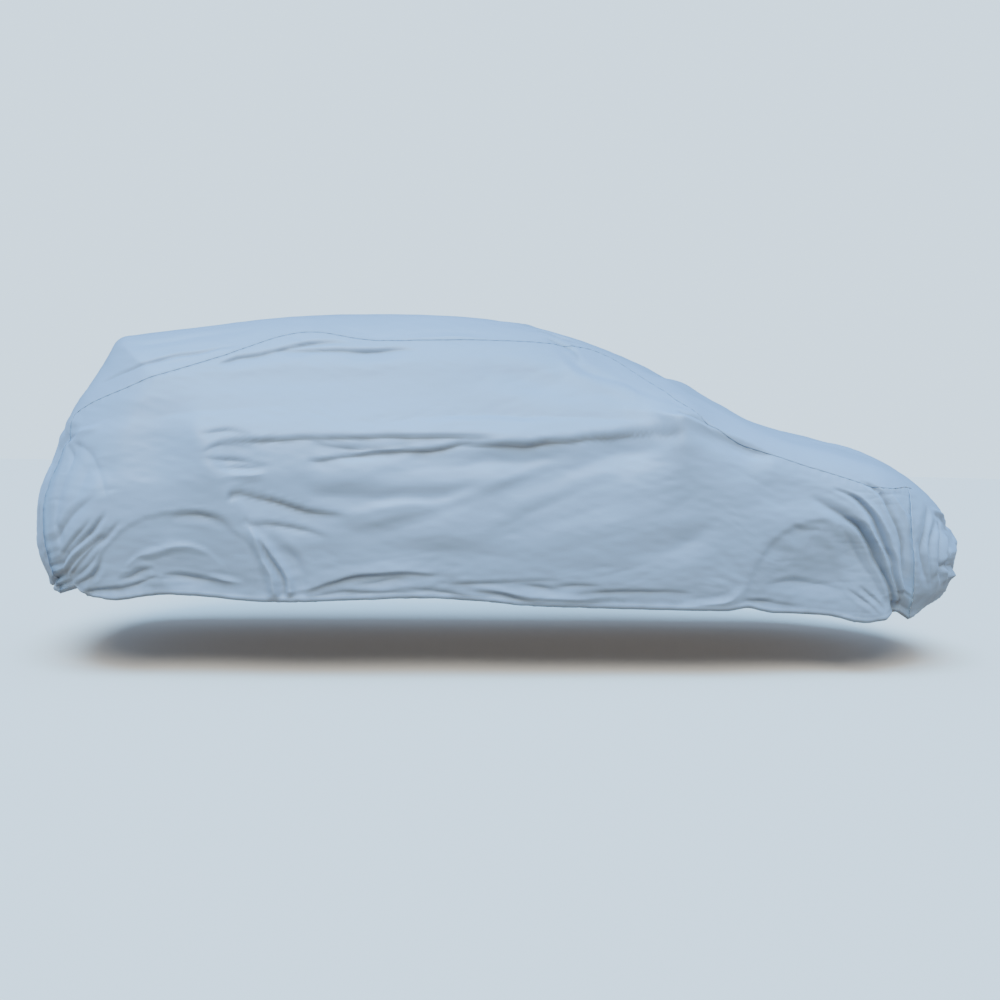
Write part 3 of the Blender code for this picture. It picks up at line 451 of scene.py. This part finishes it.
def side_grid(runs):
    """Base points of the near side panel: columns from tail corner to nose corner, rows from seam to hem."""
    a, b = TAIL_CORNER, NOSE_CORNER
    rows = fractions(0.85, SEAM_STEPS, HEM_STEPS, 108)
    columns = fractions(3.6, SEAM_STEPS, SEAM_STEPS, 378)
    inner = slice(len(SEAM_STEPS) - 1, 1 - len(HEM_STEPS))
    rows[inner] = closer(rows[inner], [(0.03, 0.13, 0.9), (0.37, 0.52, 0.9), (0.64, 0.78, 0.3), (0.84, 0.98, 0.8)])
    inner = slice(len(SEAM_STEPS) - 1, 1 - len(SEAM_STEPS))
    columns[inner] = closer(columns[inner], [(0.0, 0.12, 1.1), (0.17, 0.25, 0.5), (0.84, 1.0, 1.2)])
    top = stretch(STRIP[a:b + 1], TOP_CELLS, 1200)[0]
    top = np.stack([np.interp(columns, np.linspace(0, 1, len(top)), top[:, i]) for i in range(3)], -1)
    tail, nose = (np.stack([np.interp(rows, np.linspace(0, 1, len(e)), e[:, i]) for i in range(3)], -1)
                  for e in (runs[0][0][::-1], runs[2][0]))
    hem_x = smooth([(0, tail[-1, 0]), (0.5, 0.02), (1, nose[-1, 0])], columns)
    hem = onto_car(np.stack([hem_x, 0 * hem_x + 0.83, smooth(HEM, hem_x)], -1))
    hem[0], hem[-1] = tail[-1], nose[-1]
    u, w = columns[:, None, None], rows[None, :, None]
    p = ((1 - w) * top[:, None] + w * hem[:, None] + (1 - u) * tail[None] + u * nose[None]
         - (1 - u) * (1 - w) * top[0] - u * (1 - w) * top[-1] - (1 - u) * w * hem[0] - u * w * hem[-1])
    p[1:-1, 1:-1] = onto_car(p[1:-1, 1:-1])
    return p * (1, -1, 1)


def nearest(p, path):
    """Place along a path nearest to each point, its distance, the way from it, and the path's run there."""
    a, run = path[:-1], np.diff(path, axis=0)
    t = np.clip(((p[:, None] - a) * run).sum(-1) / (run * run).sum(-1), 0, 1)
    away = p[:, None] - a - t[..., None] * run
    gap = np.linalg.norm(away, axis=-1)
    k = gap.argmin(-1)
    pick = np.arange(len(p))
    return (t[pick, k] + k) / len(a), gap[pick, k], away[pick, k], run[k]


def faded(t, fade):
    """How much of a fold is left along its path: 0 at an end that it fades at."""
    ends = np.ones_like(t)
    if fade <= 0:
        ends *= np.clip(t / 0.33, 0, 1)
    if fade >= 0:
        ends *= np.clip((1 - t) / 0.33, 0, 1)
    return ends * (2 - ends)


def crease(p, out, path, depth, left, right, sharp, fade):
    """Height of one fold at each point, and how much shade is painted along its core there: its path runs with left
    on its left, from outside.
    """
    t, gap, away, run = nearest(p, path)
    side = (np.cross(run, away) * out).sum(-1)
    ends = faded(t, fade)
    width = np.where(side > 0, left, right) * (0.6 + 0.4 * ends)
    share = (np.sqrt(gap * gap + ROOT ** 2) - ROOT) / width
    much, off, wide = BESIDE
    height = depth * ends * (np.exp(-share ** sharp) - much * np.exp(-((share - off) / wide) ** 2))
    deep = ends * min(max(-depth / DEEP, 0), 1) * (sharp <= SHARP) * np.exp(-(gap / SHADE_WIDTH) ** 2)
    return height * (1 + VARIES * np.sin(9 * t + 400 * depth)), deep


def wandered(p):
    """Each point moved a little, so that the folds' paths wander."""
    return p + 0.0028 * np.stack([ripple(p, (0.16, 0.16, 0.12), seed) for seed in (11, 12, 13)], -1)


def beside(p, path, reach):
    """Which points lie within reach of the box around a path."""
    return ((p > path.min(0) - reach) & (p < path.max(0) + reach)).all(-1)


def drawn_in(base, lines):
    """A base grid with its points drawn closer to the sharp folds, except at its edges."""
    m, n = base.shape[:2]
    edge = np.minimum(np.minimum(*np.meshgrid(np.arange(m), np.arange(n), indexing="ij")),
                      np.minimum(*np.meshgrid(np.arange(m)[::-1], np.arange(n)[::-1], indexing="ij")))
    free = ease(edge.reshape(-1), 4.5, 8.0)
    p = base.reshape(-1, 3).copy()
    for path, depth, left, right, sharp, fade in lines:
        if sharp > 1.25:
            continue
        near = beside(p, path, 0.035)
        if near.any():
            t, gap, away, _ = nearest(wandered(p[near]), path)
            pull = 0.62 * faded(t, fade) * np.exp(-(gap / 0.015) ** 2) * free[near]
            p[near] -= pull[:, None] * away
    moved = free > 0
    p[moved] = onto_car(p[moved], 2)
    return p.reshape(m, n, 3)


def fold_lines():
    """Every fold as a smooth path on the car with its depth, widths, sharpness and fading end."""
    rows = []
    for i, (depth, left, right, sharp, fade, path) in enumerate(SIDE_FOLDS):
        line = np.stack([[(x, y, h) for y in np.linspace(-0.95, -0.40, 56)] for x, h in path])
        depths = car(line)
        line = line[np.arange(len(path)), np.where((depths < 0).any(-1), (depths < 0).argmax(-1), depths.argmin(-1))]
        rows.append((line, depth, left, right, sharp, fade))
        share = FAR_SHARE * (1 + 0.35 * math.sin(2.4 * i))
        rows.append(((line + FAR_SHIFT) * (1, -1, 1), depth * share, right, left, sharp, fade))
    for x0, folds in ((2.1, NOSE_FOLDS), (-1.9, TAIL_FOLDS)):
        for *rest, path in folds:
            rows.append(([(x0 - math.copysign(0.5 * y * y + 0.57 * max(abs(y) - 0.55, 0), x0), y, h)
                          for y, h in path], *rest))
    for *rest, path in TOP_FOLDS:
        rows.append(([(x, y, float(smooth(TOP_LINE, np.array(x)))) for x, y in path], *rest))
    fine = [smooth([(k, *q) for k, q in enumerate(path)], np.linspace(0, len(path) - 1, 3 * len(path)))
            for path, *_ in rows]
    placed = np.split(onto_car(np.concatenate(fine), 10), np.cumsum([len(path) for path in fine])[:-1])
    return [(path, *rest) for path, (_, *rest) in zip(placed, rows)]


def ripple(p, size, seed, count=7):
    """Uneven waves about as long as size, the same on each run."""
    draw = np.random.default_rng(seed)
    total = np.zeros(p.shape[:-1])
    for _ in range(count):
        way = draw.normal(size=3)
        way *= draw.uniform(0.7, 1.5) * 2 * math.pi / (np.array(size) * np.linalg.norm(way))
        total += np.sin(p @ way + draw.uniform(0, 2 * math.pi))
    return total / math.sqrt(count)


def arch(p, x0, z0, tail, top, nose, depth, shelf, shown, bend):
    """Depth of the cloth where it sinks past a wheel arch's lip and comes out again over the wheel."""
    x, z = p[..., 0] - x0, np.maximum(p[..., 2] - z0, -0.05)
    r = np.hypot(x, z)
    up = (z / np.maximum(r, 1e-6)) ** 2
    inside = top * up + np.where(x > 0, nose, tail) * (1 - up) - r + 0.005 * ripple(p, (0.3, 0.3, 0.3), 41)
    lip = 0.16 * ease(inside, -0.3 * bend, bend) + 0.84 * ease(inside, -0.03, 0.30)
    lip += (0.9 * ease(inside, -0.08, 0.26) - lip) * ease(x, shown - 0.12, shown)
    over = 1 - shelf * ease(inside, 0.118, 0.134) * ease(up, 0.1, 0.5)
    return depth * lip * over * (0.8 + 0.2 * ease(p[..., 2], 0.30, 0.40))


def relief(p, out, lines):
    """Height of the arches, mirrors, folds and unevenness at each point, and how much shade is painted there along
    the sharp folds.
    """
    x, y, z = p[..., 0], p[..., 1], p[..., 2]
    total, painted_shade = np.zeros_like(x), np.zeros_like(x)
    for row in ARCHES:
        total -= arch(p, *row) * ease(np.abs(y), 0.6, 0.75)
    x0, z0, y0, reach, up, down = MIRROR
    spread = np.hypot(np.hypot(x - x0, np.abs(y) - y0) / 0.15, (z - z0) / np.where(z > z0, up, down))
    total += reach * np.exp(-spread ** 1.5)
    for x0, z0, long, high, depth in HOLLOWS:
        total -= depth * np.exp(-((x - x0) / long) ** 2 - ((z - z0) / high) ** 2) * ease(np.abs(y), 0.5, 0.7)
    bent = wandered(p)
    for path, depth, left, right, *rest in lines:
        near = beside(p, path, 4.6 * max(left, right) + 0.006)
        if near.any():
            height, deep = crease(bent[near], out[near], path, depth, left, right, *rest)
            total[near] += height
            painted_shade[near] = np.maximum(painted_shade[near], deep)
    upright = ease(np.abs(out[..., 1]), 0.3, 0.9)
    for *size, seed, high, flat in WAVES:
        total += high * ripple(p, size, seed) * (flat + (1 - flat) * upright)
    slant = p + np.stack([0 * x, 0 * x, -DRAG_SLANT * x * (1 - ease(np.abs(x - 0.1), 0.6, 1.0))], -1)
    for *size, seed, high in DRAG_LINES:
        pulled = np.exp(-np.abs(ripple(slant, size, seed)) / 0.22)
        total -= high * pulled * ease(ripple(p, (0.6, 0.5, 0.35), seed + 9), -0.2, 0.9)
    return total, painted_shade


def gathers(p, hem):
    """Height of the small puckers that elastic makes along a hem."""
    x, y = np.abs(p[..., 0]), np.abs(p[..., 1])
    ends = np.maximum(ease(-p[..., 0], 1.50, 1.76), ease(p[..., 0], 1.45, 1.66))
    along = x - 1.3 * y
    wave = np.sin(105 * along + 2.4 * ripple(p, (0.3, 0.3, 0.3), 21))
    wave *= 0.8 + 0.4 * ripple(p, (0.2, 0.2, 0.2), 22)
    slack = np.sin(33 * along + 2.0 * ripple(p, (0.4, 0.4, 0.4), 24))
    return (0.0020 * ends * wave * np.exp(-hem / 0.040)
            + (0.0014 + 0.0016 * ends) * slack * np.exp(-hem / 0.10)
            + 0.0007 * wave * (1 - ends) * np.exp(-hem / 0.035))


def hem_and_seam(seam, hem, run, laps):
    """Height of the doubled hem band with its stitching and rolled edge, and of the seam's lap and puckers."""
    total = 0.0010 * (1 - ease(hem, HEM_BAND - 0.002, HEM_BAND + 0.002))
    total -= 0.0002 * np.exp(-((hem - HEM_ROW) / 0.003) ** 2)
    total += 0.0016 * np.exp(-((hem - 0.5 * HEM_BAND) / 0.008) ** 2) - 0.0060 * np.exp(-(hem / 0.006) ** 1.5)
    total += 0.0006 * np.sin(run * 150 + 3 * np.sin(run * 9)) * np.exp(-((seam - 0.012) / 0.020) ** 2)
    if laps:
        total += 0.0009 * (1 - ease(seam, SEAM_LAP - 0.0015, SEAM_LAP + 0.0015))
        return total - 0.0006 * np.exp(-((seam - 0.008) / 0.003) ** 2)
    return total - 0.0007 * (1 - ease(seam, 0.0, 0.006))


def cloth_panel(name, base, seam, hem, run, lines, laps):
    """One panel of cloth from its base grid, with its folds, hem and seam edges and its own UV map in metres."""
    m, n = base.shape[:2]
    p = base.reshape(-1, 3)
    out = outward(p)
    seam, hem, run = seam.reshape(-1), hem.reshape(-1), run.reshape(-1)
    height, painted_shade = relief(p, out, lines)
    height += gathers(p, hem)
    outer = (p + height[:, None] * out).reshape(m, n, 3)
    du, dv = np.gradient(outer, axis=0), np.gradient(outer, axis=1)
    face = np.cross(du, dv).reshape(-1, 3)
    face /= np.maximum(np.linalg.norm(face, axis=-1, keepdims=True), 1e-9)
    face *= np.sign((face * out).sum(-1, keepdims=True))
    points = outer.reshape(-1, 3) + hem_and_seam(seam, hem, run, laps)[:, None] * face - ORIGIN
    at = np.arange(m * n).reshape(m, n)
    quads = np.stack([at[:-1, :-1], at[1:, :-1], at[1:, 1:], at[:-1, 1:]], -1).reshape(-1, 4)
    turn = (np.cross(points[quads[0, 1]] - points[quads[0, 0]], points[quads[0, 3]] - points[quads[0, 0]])
            * out[quads[0, 0]]).sum()
    if turn < 0:
        quads = quads[:, ::-1]
    mesh = bpy.data.meshes.new(name)
    mesh.from_pydata(points.tolist(), [], quads.tolist())
    corners = quads.reshape(-1)
    layer = mesh.uv_layers.new(name="cloth")
    layer.data.foreach_set("uv", np.stack([run[corners], hem[corners]], -1).astype(np.float32).reshape(-1))
    # The last attribute is the shade painted along the sharp folds' cores.
    for word, values in (("seam_distance", seam), ("hem_distance", hem), ("run", run), ("painted_fold_shade", painted_shade)):
        spread = mesh.attributes.new(word, "FLOAT", "POINT")
        spread.data.foreach_set("value", values.astype(np.float32))
    mesh.shade_smooth()
    obj = bpy.data.objects.new(name, mesh)
    bpy.context.scene.collection.objects.link(obj)
    wall = obj.modifiers.new("cloth", "SOLIDIFY")
    wall.thickness, wall.offset, wall.use_even_offset = CLOTH, -1.0, False
    wall.material_offset = 1
    return obj


# ---------------------------------------------------------------- finishes

def feed(tree, socket, value):
    """Give a socket a link, a colour or a number."""
    if isinstance(value, bpy.types.NodeSocket):
        tree.links.new(value, socket)
    else:
        socket.default_value = (*value, 1) if isinstance(value, tuple) else value


def maths(tree, operation, *values):
    """Output of a Math node on values or links."""
    node = tree.nodes.new("ShaderNodeMath")
    node.operation = operation
    for socket, value in zip(node.inputs, values):
        feed(tree, socket, value)
    return node.outputs[0]


def between(tree, value, low, high, to_low=0.0, to_high=1.0):
    """A value carried smoothly from one range into another."""
    node = tree.nodes.new("ShaderNodeMapRange")
    node.interpolation_type = "SMOOTHSTEP"
    for word, number in (("From Min", low), ("From Max", high), ("To Min", to_low), ("To Max", to_high)):
        node.inputs[word].default_value = number
    tree.links.new(value, node.inputs["Value"])
    return node.outputs["Result"]


def mixed(tree, share, first, second):
    """A colour between two colours, each a link or a colour."""
    node = tree.nodes.new("ShaderNodeMix")
    node.data_type = "RGBA"
    sockets = [i for i in node.inputs if i.enabled]
    for socket, value in zip(sockets, (share, first, second)):
        feed(tree, socket, value)
    return [o for o in node.outputs if o.enabled][0]


def noise(tree, vector, scale, detail=2.0, distortion=0.0):
    """Value of a noise texture on a vector."""
    node = tree.nodes.new("ShaderNodeTexNoise")
    node.inputs["Scale"].default_value = scale
    node.inputs["Detail"].default_value = detail
    node.inputs["Distortion"].default_value = distortion
    tree.links.new(vector, node.inputs["Vector"])
    return node.outputs[0]


def effect(name, takes, gives):
    """An empty node group with named inputs and outputs, its tree, its input node and its output node."""
    tree = bpy.data.node_groups.new(name, "ShaderNodeTree")
    for word, kind in takes:
        tree.interface.new_socket(word, in_out="INPUT", socket_type=kind)
    for word, kind in gives:
        tree.interface.new_socket(word, in_out="OUTPUT", socket_type=kind)
    return tree, tree.nodes.new("NodeGroupInput"), tree.nodes.new("NodeGroupOutput")


FLOAT, VECTOR = "NodeSocketFloat", "NodeSocketVector"


def weave_effect():
    """Plain weave: threads over and under each other, in metres of cloth."""
    tree, given, made = effect("plain_weave", [("Cloth", VECTOR), ("Threads per metre", FLOAT)],
                               [("Height", FLOAT), ("Gap", FLOAT)])
    parts = tree.nodes.new("ShaderNodeSeparateXYZ")
    tree.links.new(given.outputs["Cloth"], parts.inputs[0])
    turns = maths(tree, "MULTIPLY", given.outputs["Threads per metre"], math.pi)
    warp, weft = (maths(tree, "SINE", maths(tree, "MULTIPLY", parts.outputs[i], turns)) for i in (0, 1))
    over = maths(tree, "MULTIPLY", warp, weft)
    tree.links.new(maths(tree, "MULTIPLY_ADD", over, 0.5, 0.5), made.inputs["Height"])
    tree.links.new(maths(tree, "SUBTRACT", 1.0, maths(tree, "ABSOLUTE", over)), made.inputs["Gap"])
    return tree


def stitch_effect():
    """One row of stitches beside an edge: how far along and how far from the edge in, thread and height out."""
    tree, given, made = effect("stitch_row", [("Along", FLOAT), ("From edge", FLOAT), ("Row", FLOAT),
                                              ("Stitch", FLOAT)],
                               [("Thread", FLOAT), ("Height", FLOAT)])
    share = maths(tree, "FRACT", maths(tree, "DIVIDE", given.outputs["Along"], given.outputs["Stitch"]))
    middle = maths(tree, "ABSOLUTE", maths(tree, "SUBTRACT", share, 0.5))
    away = maths(tree, "ABSOLUTE", maths(tree, "SUBTRACT", given.outputs["From edge"], given.outputs["Row"]))
    thread = maths(tree, "MULTIPLY", between(tree, middle, 0.40, 0.34), between(tree, away, 0.0010, 0.0005))
    needle = maths(tree, "MULTIPLY", between(tree, middle, 0.40, 0.46), between(tree, away, 0.0012, 0.0004))
    tree.links.new(thread, made.inputs["Thread"])
    tree.links.new(maths(tree, "SUBTRACT", thread, needle), made.inputs["Height"])
    return tree


def crinkle_effect():
    """Soft dents and drag lines of a coated cloth, longer along the car than up it."""
    tree, given, made = effect("crinkle", [("Place", VECTOR), ("Size", FLOAT)], [("Height", FLOAT)])
    scale = maths(tree, "DIVIDE", 1.0, given.outputs["Size"])
    place = tree.nodes.new("ShaderNodeVectorMath")
    place.operation = "SCALE"
    tree.links.new(given.outputs["Place"], place.inputs[0])
    tree.links.new(scale, place.inputs["Scale"])
    drawn = tree.nodes.new("ShaderNodeVectorMath")
    drawn.operation = "MULTIPLY"
    tree.links.new(place.outputs[0], drawn.inputs[0])
    drawn.inputs[1].default_value = (0.30, 0.8, 1.0)
    broad = noise(tree, drawn.outputs[0], 1.0, 3.0, 0.3)
    fine = noise(tree, drawn.outputs[0], 3.1, 3.0, 0.4)
    tree.links.new(maths(tree, "MULTIPLY_ADD", fine, 0.35, broad), made.inputs["Height"])
    return tree


def dust_effect():
    """Uneven tone: large soft patches, and road dust that thickens towards the hem."""
    tree, given, made = effect("dust_and_tone", [("Place", VECTOR), ("From hem", FLOAT)],
                               [("Dust", FLOAT), ("Tone", FLOAT)])
    low = between(tree, given.outputs["From hem"], 0.22, 0.0)
    grain = between(tree, noise(tree, given.outputs["Place"], 9.0, 6.0, 0.4), 0.40, 0.70)
    tree.links.new(maths(tree, "MULTIPLY", low, grain), made.inputs["Dust"])
    tree.links.new(noise(tree, given.outputs["Place"], 1.6, 3.0, 0.5), made.inputs["Tone"])
    return tree


WEAVE, STITCHES, CRINKLE, DUST = weave_effect(), stitch_effect(), crinkle_effect(), dust_effect()


def placed(tree, group, **values):
    """One use of a node group in a material, with its own values or links."""
    node = tree.nodes.new("ShaderNodeGroup")
    node.node_tree = group
    for word, value in values.items():
        feed(tree, node.inputs[word.replace("_", " ")], value)
    return node


# The first colour is dust; the second is a browner shade painted along the sharp folds' cores.
DUST_COLOUR, FOLD_SHADE_COLOUR = (0.22, 0.26, 0.31), (0.205, 0.190, 0.165)


def coated_cloth(name, colour, shade, thread, roughness):
    """Coated polyester: its base and shaded colours, its thread and how rough it is, and a browner shade painted
    along the sharp folds.
    """
    mat = bpy.data.materials.new(name)
    mat.use_nodes = True
    tree = mat.node_tree
    shader = tree.nodes["Principled BSDF"]
    place = tree.nodes.new("ShaderNodeTexCoord").outputs["Object"]
    spread = tree.nodes.new("ShaderNodeUVMap")
    spread.uv_map = "cloth"
    seam, hem, run, fold = (tree.nodes.new("ShaderNodeAttribute") for _ in range(4))
    for node, word in ((seam, "seam_distance"), (hem, "hem_distance"), (run, "run"), (fold, "painted_fold_shade")):
        node.attribute_name = word
    seam, hem, run, fold = (node.outputs["Fac"] for node in (seam, hem, run, fold))
    weave = placed(tree, WEAVE, Cloth=spread.outputs[0], Threads_per_metre=THREADS_PER_METRE)
    crinkle = placed(tree, CRINKLE, Place=place, Size=CRINKLE_SIZE)
    dust = placed(tree, DUST, Place=place, From_hem=hem)
    rows = [placed(tree, STITCHES, Along=run, From_edge=edge, Row=row, Stitch=STITCH)
            for edge, row in ((seam, SEAM_ROW), (seam, EDGE_ROW), (hem, HEM_ROW))]
    stitches = maths(tree, "MAXIMUM", maths(tree, "MAXIMUM", rows[0].outputs["Thread"], rows[1].outputs["Thread"]),
                     rows[2].outputs["Thread"])
    tone = mixed(tree, between(tree, dust.outputs["Tone"], 0.30, 0.70), shade, colour)
    gapped = mixed(tree, maths(tree, "MULTIPLY", weave.outputs["Gap"], 0.12), tone, shade)
    dusty_and_shaded = mixed(tree, maths(tree, "MULTIPLY", dust.outputs["Dust"], 0.40), gapped, DUST_COLOUR)
    # Painted shade: the cloth turns browner and darker along the sharp folds' cores.
    dusty_and_shaded = mixed(tree, maths(tree, "MULTIPLY", fold, 0.60), dusty_and_shaded, FOLD_SHADE_COLOUR)
    tree.links.new(mixed(tree, stitches, dusty_and_shaded, thread), shader.inputs["Base Color"])
    rough = maths(tree, "ADD", roughness, maths(tree, "MULTIPLY", dust.outputs["Dust"], 0.18))
    rough = maths(tree, "ADD", rough, maths(tree, "MULTIPLY", dust.outputs["Tone"], 0.10))
    tree.links.new(rough, shader.inputs["Roughness"])
    normal = None
    for height, depth in ((crinkle.outputs["Height"], 0.004), (weave.outputs["Height"], 0.00012),
                          (rows[0].outputs["Height"], 0.0006), (rows[1].outputs["Height"], 0.0006),
                          (rows[2].outputs["Height"], 0.0002)):
        bump = tree.nodes.new("ShaderNodeBump")
        bump.inputs["Distance"].default_value = depth
        bump.inputs["Strength"].default_value = 0.6
        tree.links.new(height, bump.inputs["Height"])
        if normal:
            tree.links.new(normal, bump.inputs["Normal"])
        normal = bump.outputs[0]
    tree.links.new(normal, shader.inputs["Normal"])
    shader.inputs["Metallic"].default_value = 0.0
    shader.inputs["Sheen Weight"].default_value = 0.25
    shader.inputs["Sheen Roughness"].default_value = 0.45
    shader.inputs["Sheen Tint"].default_value = (0.45, 0.72, 1.0, 1)
    return mat


# ---------------------------------------------------------------- the cover

lines = fold_lines()
centre_base, runs = centre_grid()
near_lines, far_lines = ([row for row in lines if (row[0][:, 1] * way > -0.3).all()] for way in (-1, 1))
side_base = side_grid(runs)
near_base, far_base = drawn_in(side_base, near_lines), drawn_in(side_base * (1, -1, 1), far_lines)
centre_base = drawn_in(centre_base, lines)

across = lengths(centre_base, 1)
along = lengths(centre_base, 0)
centre_seam = np.minimum(across, across[:, -1:] - across)
centre_hem = np.minimum(along, along[-1:] - along)
centre = cloth_panel("centre_cloth", centre_base, centre_seam, centre_hem, along, lines, True)

sides = []
for name, base, its_lines in (("side_cloth_near", near_base, near_lines), ("side_cloth_far", far_base, far_lines)):
    down, forward = lengths(base, 1), lengths(base, 0)
    side_seam = np.minimum(np.minimum(down, forward), forward[-1:] - forward)
    sides.append(cloth_panel(name, base, side_seam, down[:, -1:] - down, forward, its_lines, False))
near, far = sides

silver_centre = coated_cloth("centre_cloth", (0.318, 0.450, 0.636), (0.298, 0.424, 0.598), (0.40, 0.49, 0.58), 0.42)
silver_side = coated_cloth("side_cloth", (0.315, 0.446, 0.628), (0.295, 0.420, 0.590), (0.40, 0.49, 0.58), 0.44)
inside = coated_cloth("cloth_inside", (0.42, 0.46, 0.50), (0.38, 0.42, 0.46), (0.50, 0.54, 0.58), 0.70)
for piece, node, finish, slot, flat in ((centre, "centre_panel", silver_centre, "centre_cloth", (1.62, 5.55)),
                                        (near, "side_panel_near", silver_side, "side_cloth", (1.10, 3.75)),
                                        (far, "side_panel_far", silver_side, "side_cloth", (1.10, 3.75))):
    piece.data.materials.append(finish)
    piece.data.materials.append(inside)
    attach(piece, "root")
    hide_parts(node)

# ---------------------------------------------------------------- floor, camera and light

bpy.ops.object.select_all(action="DESELECT")
bpy.ops.mesh.primitive_circle_add(vertices=96, radius=60, fill_type="NGON", location=(0, 0, -ORIGIN[2]))
floor = bpy.context.object
floor.name = "studio_floor"
paint = bpy.data.materials.new("studio_white")
paint.use_nodes = True
paint.node_tree.nodes["Principled BSDF"].inputs["Base Color"].default_value = (0.96, 0.86, 0.77, 1)
paint.node_tree.nodes["Principled BSDF"].inputs["Roughness"].default_value = 0.9
floor.data.materials.append(paint)
floor.visible_diffuse = floor.visible_glossy = floor.visible_shadow = False

camera = bpy.data.objects.new("camera", bpy.data.cameras.new("camera"))
bpy.context.scene.collection.objects.link(camera)
EYE, TURN, LOOK_DOWN, ROLL = (-0.602, -5.67, 0.891), 6.58, 2.25, 1.17
camera.matrix_world = (Matrix.Translation(Vector(EYE) - Vector(ORIGIN))
                       @ Matrix.Rotation(math.radians(-TURN), 4, "Z")
                       @ Matrix.Rotation(math.radians(90 - LOOK_DOWN), 4, "X")
                       @ Matrix.Rotation(math.radians(ROLL), 4, "Z"))
camera.data.lens, camera.data.sensor_width = 45.5, 36
camera.data.clip_end = 200
bpy.context.scene.camera = camera


def sunlight(name, way, spread, strength, colour):
    """One broad even light from a direction, as wide as spread degrees."""
    light = bpy.data.lights.new(name, "SUN")
    light.angle, light.energy, light.color = math.radians(spread), strength, colour
    obj = bpy.data.objects.new(name, light)
    bpy.context.scene.collection.objects.link(obj)
    obj.rotation_euler = Vector(way).to_track_quat("Z", "Y").to_euler()


sunlight("overhead", (-0.10, -0.34, 1.0), 40, 5.4, (0.26, 0.62, 1.05))
sunlight("front", (-0.12, -0.90, 0.80), 30, 2.7, (0.89, 0.92, 0.84))

world = bpy.data.worlds.new("studio")
bpy.context.scene.world = world
world.use_nodes = True
tree = world.node_tree
glow = tree.nodes["Background"]
height = tree.nodes.new("ShaderNodeSeparateXYZ")
tree.links.new(tree.nodes.new("ShaderNodeTexCoord").outputs["Generated"], height.inputs[0])
sky = mixed(tree, between(tree, height.outputs["Z"], -0.15, 0.25), (0.46, 0.40, 0.34), (0.30, 0.44, 0.66))
seen = mixed(tree, tree.nodes.new("ShaderNodeLightPath").outputs["Is Camera Ray"], sky, (1.25, 1.69, 2.10))
tree.links.new(seen, glow.inputs["Color"])
glow.inputs["Strength"].default_value = 1.0
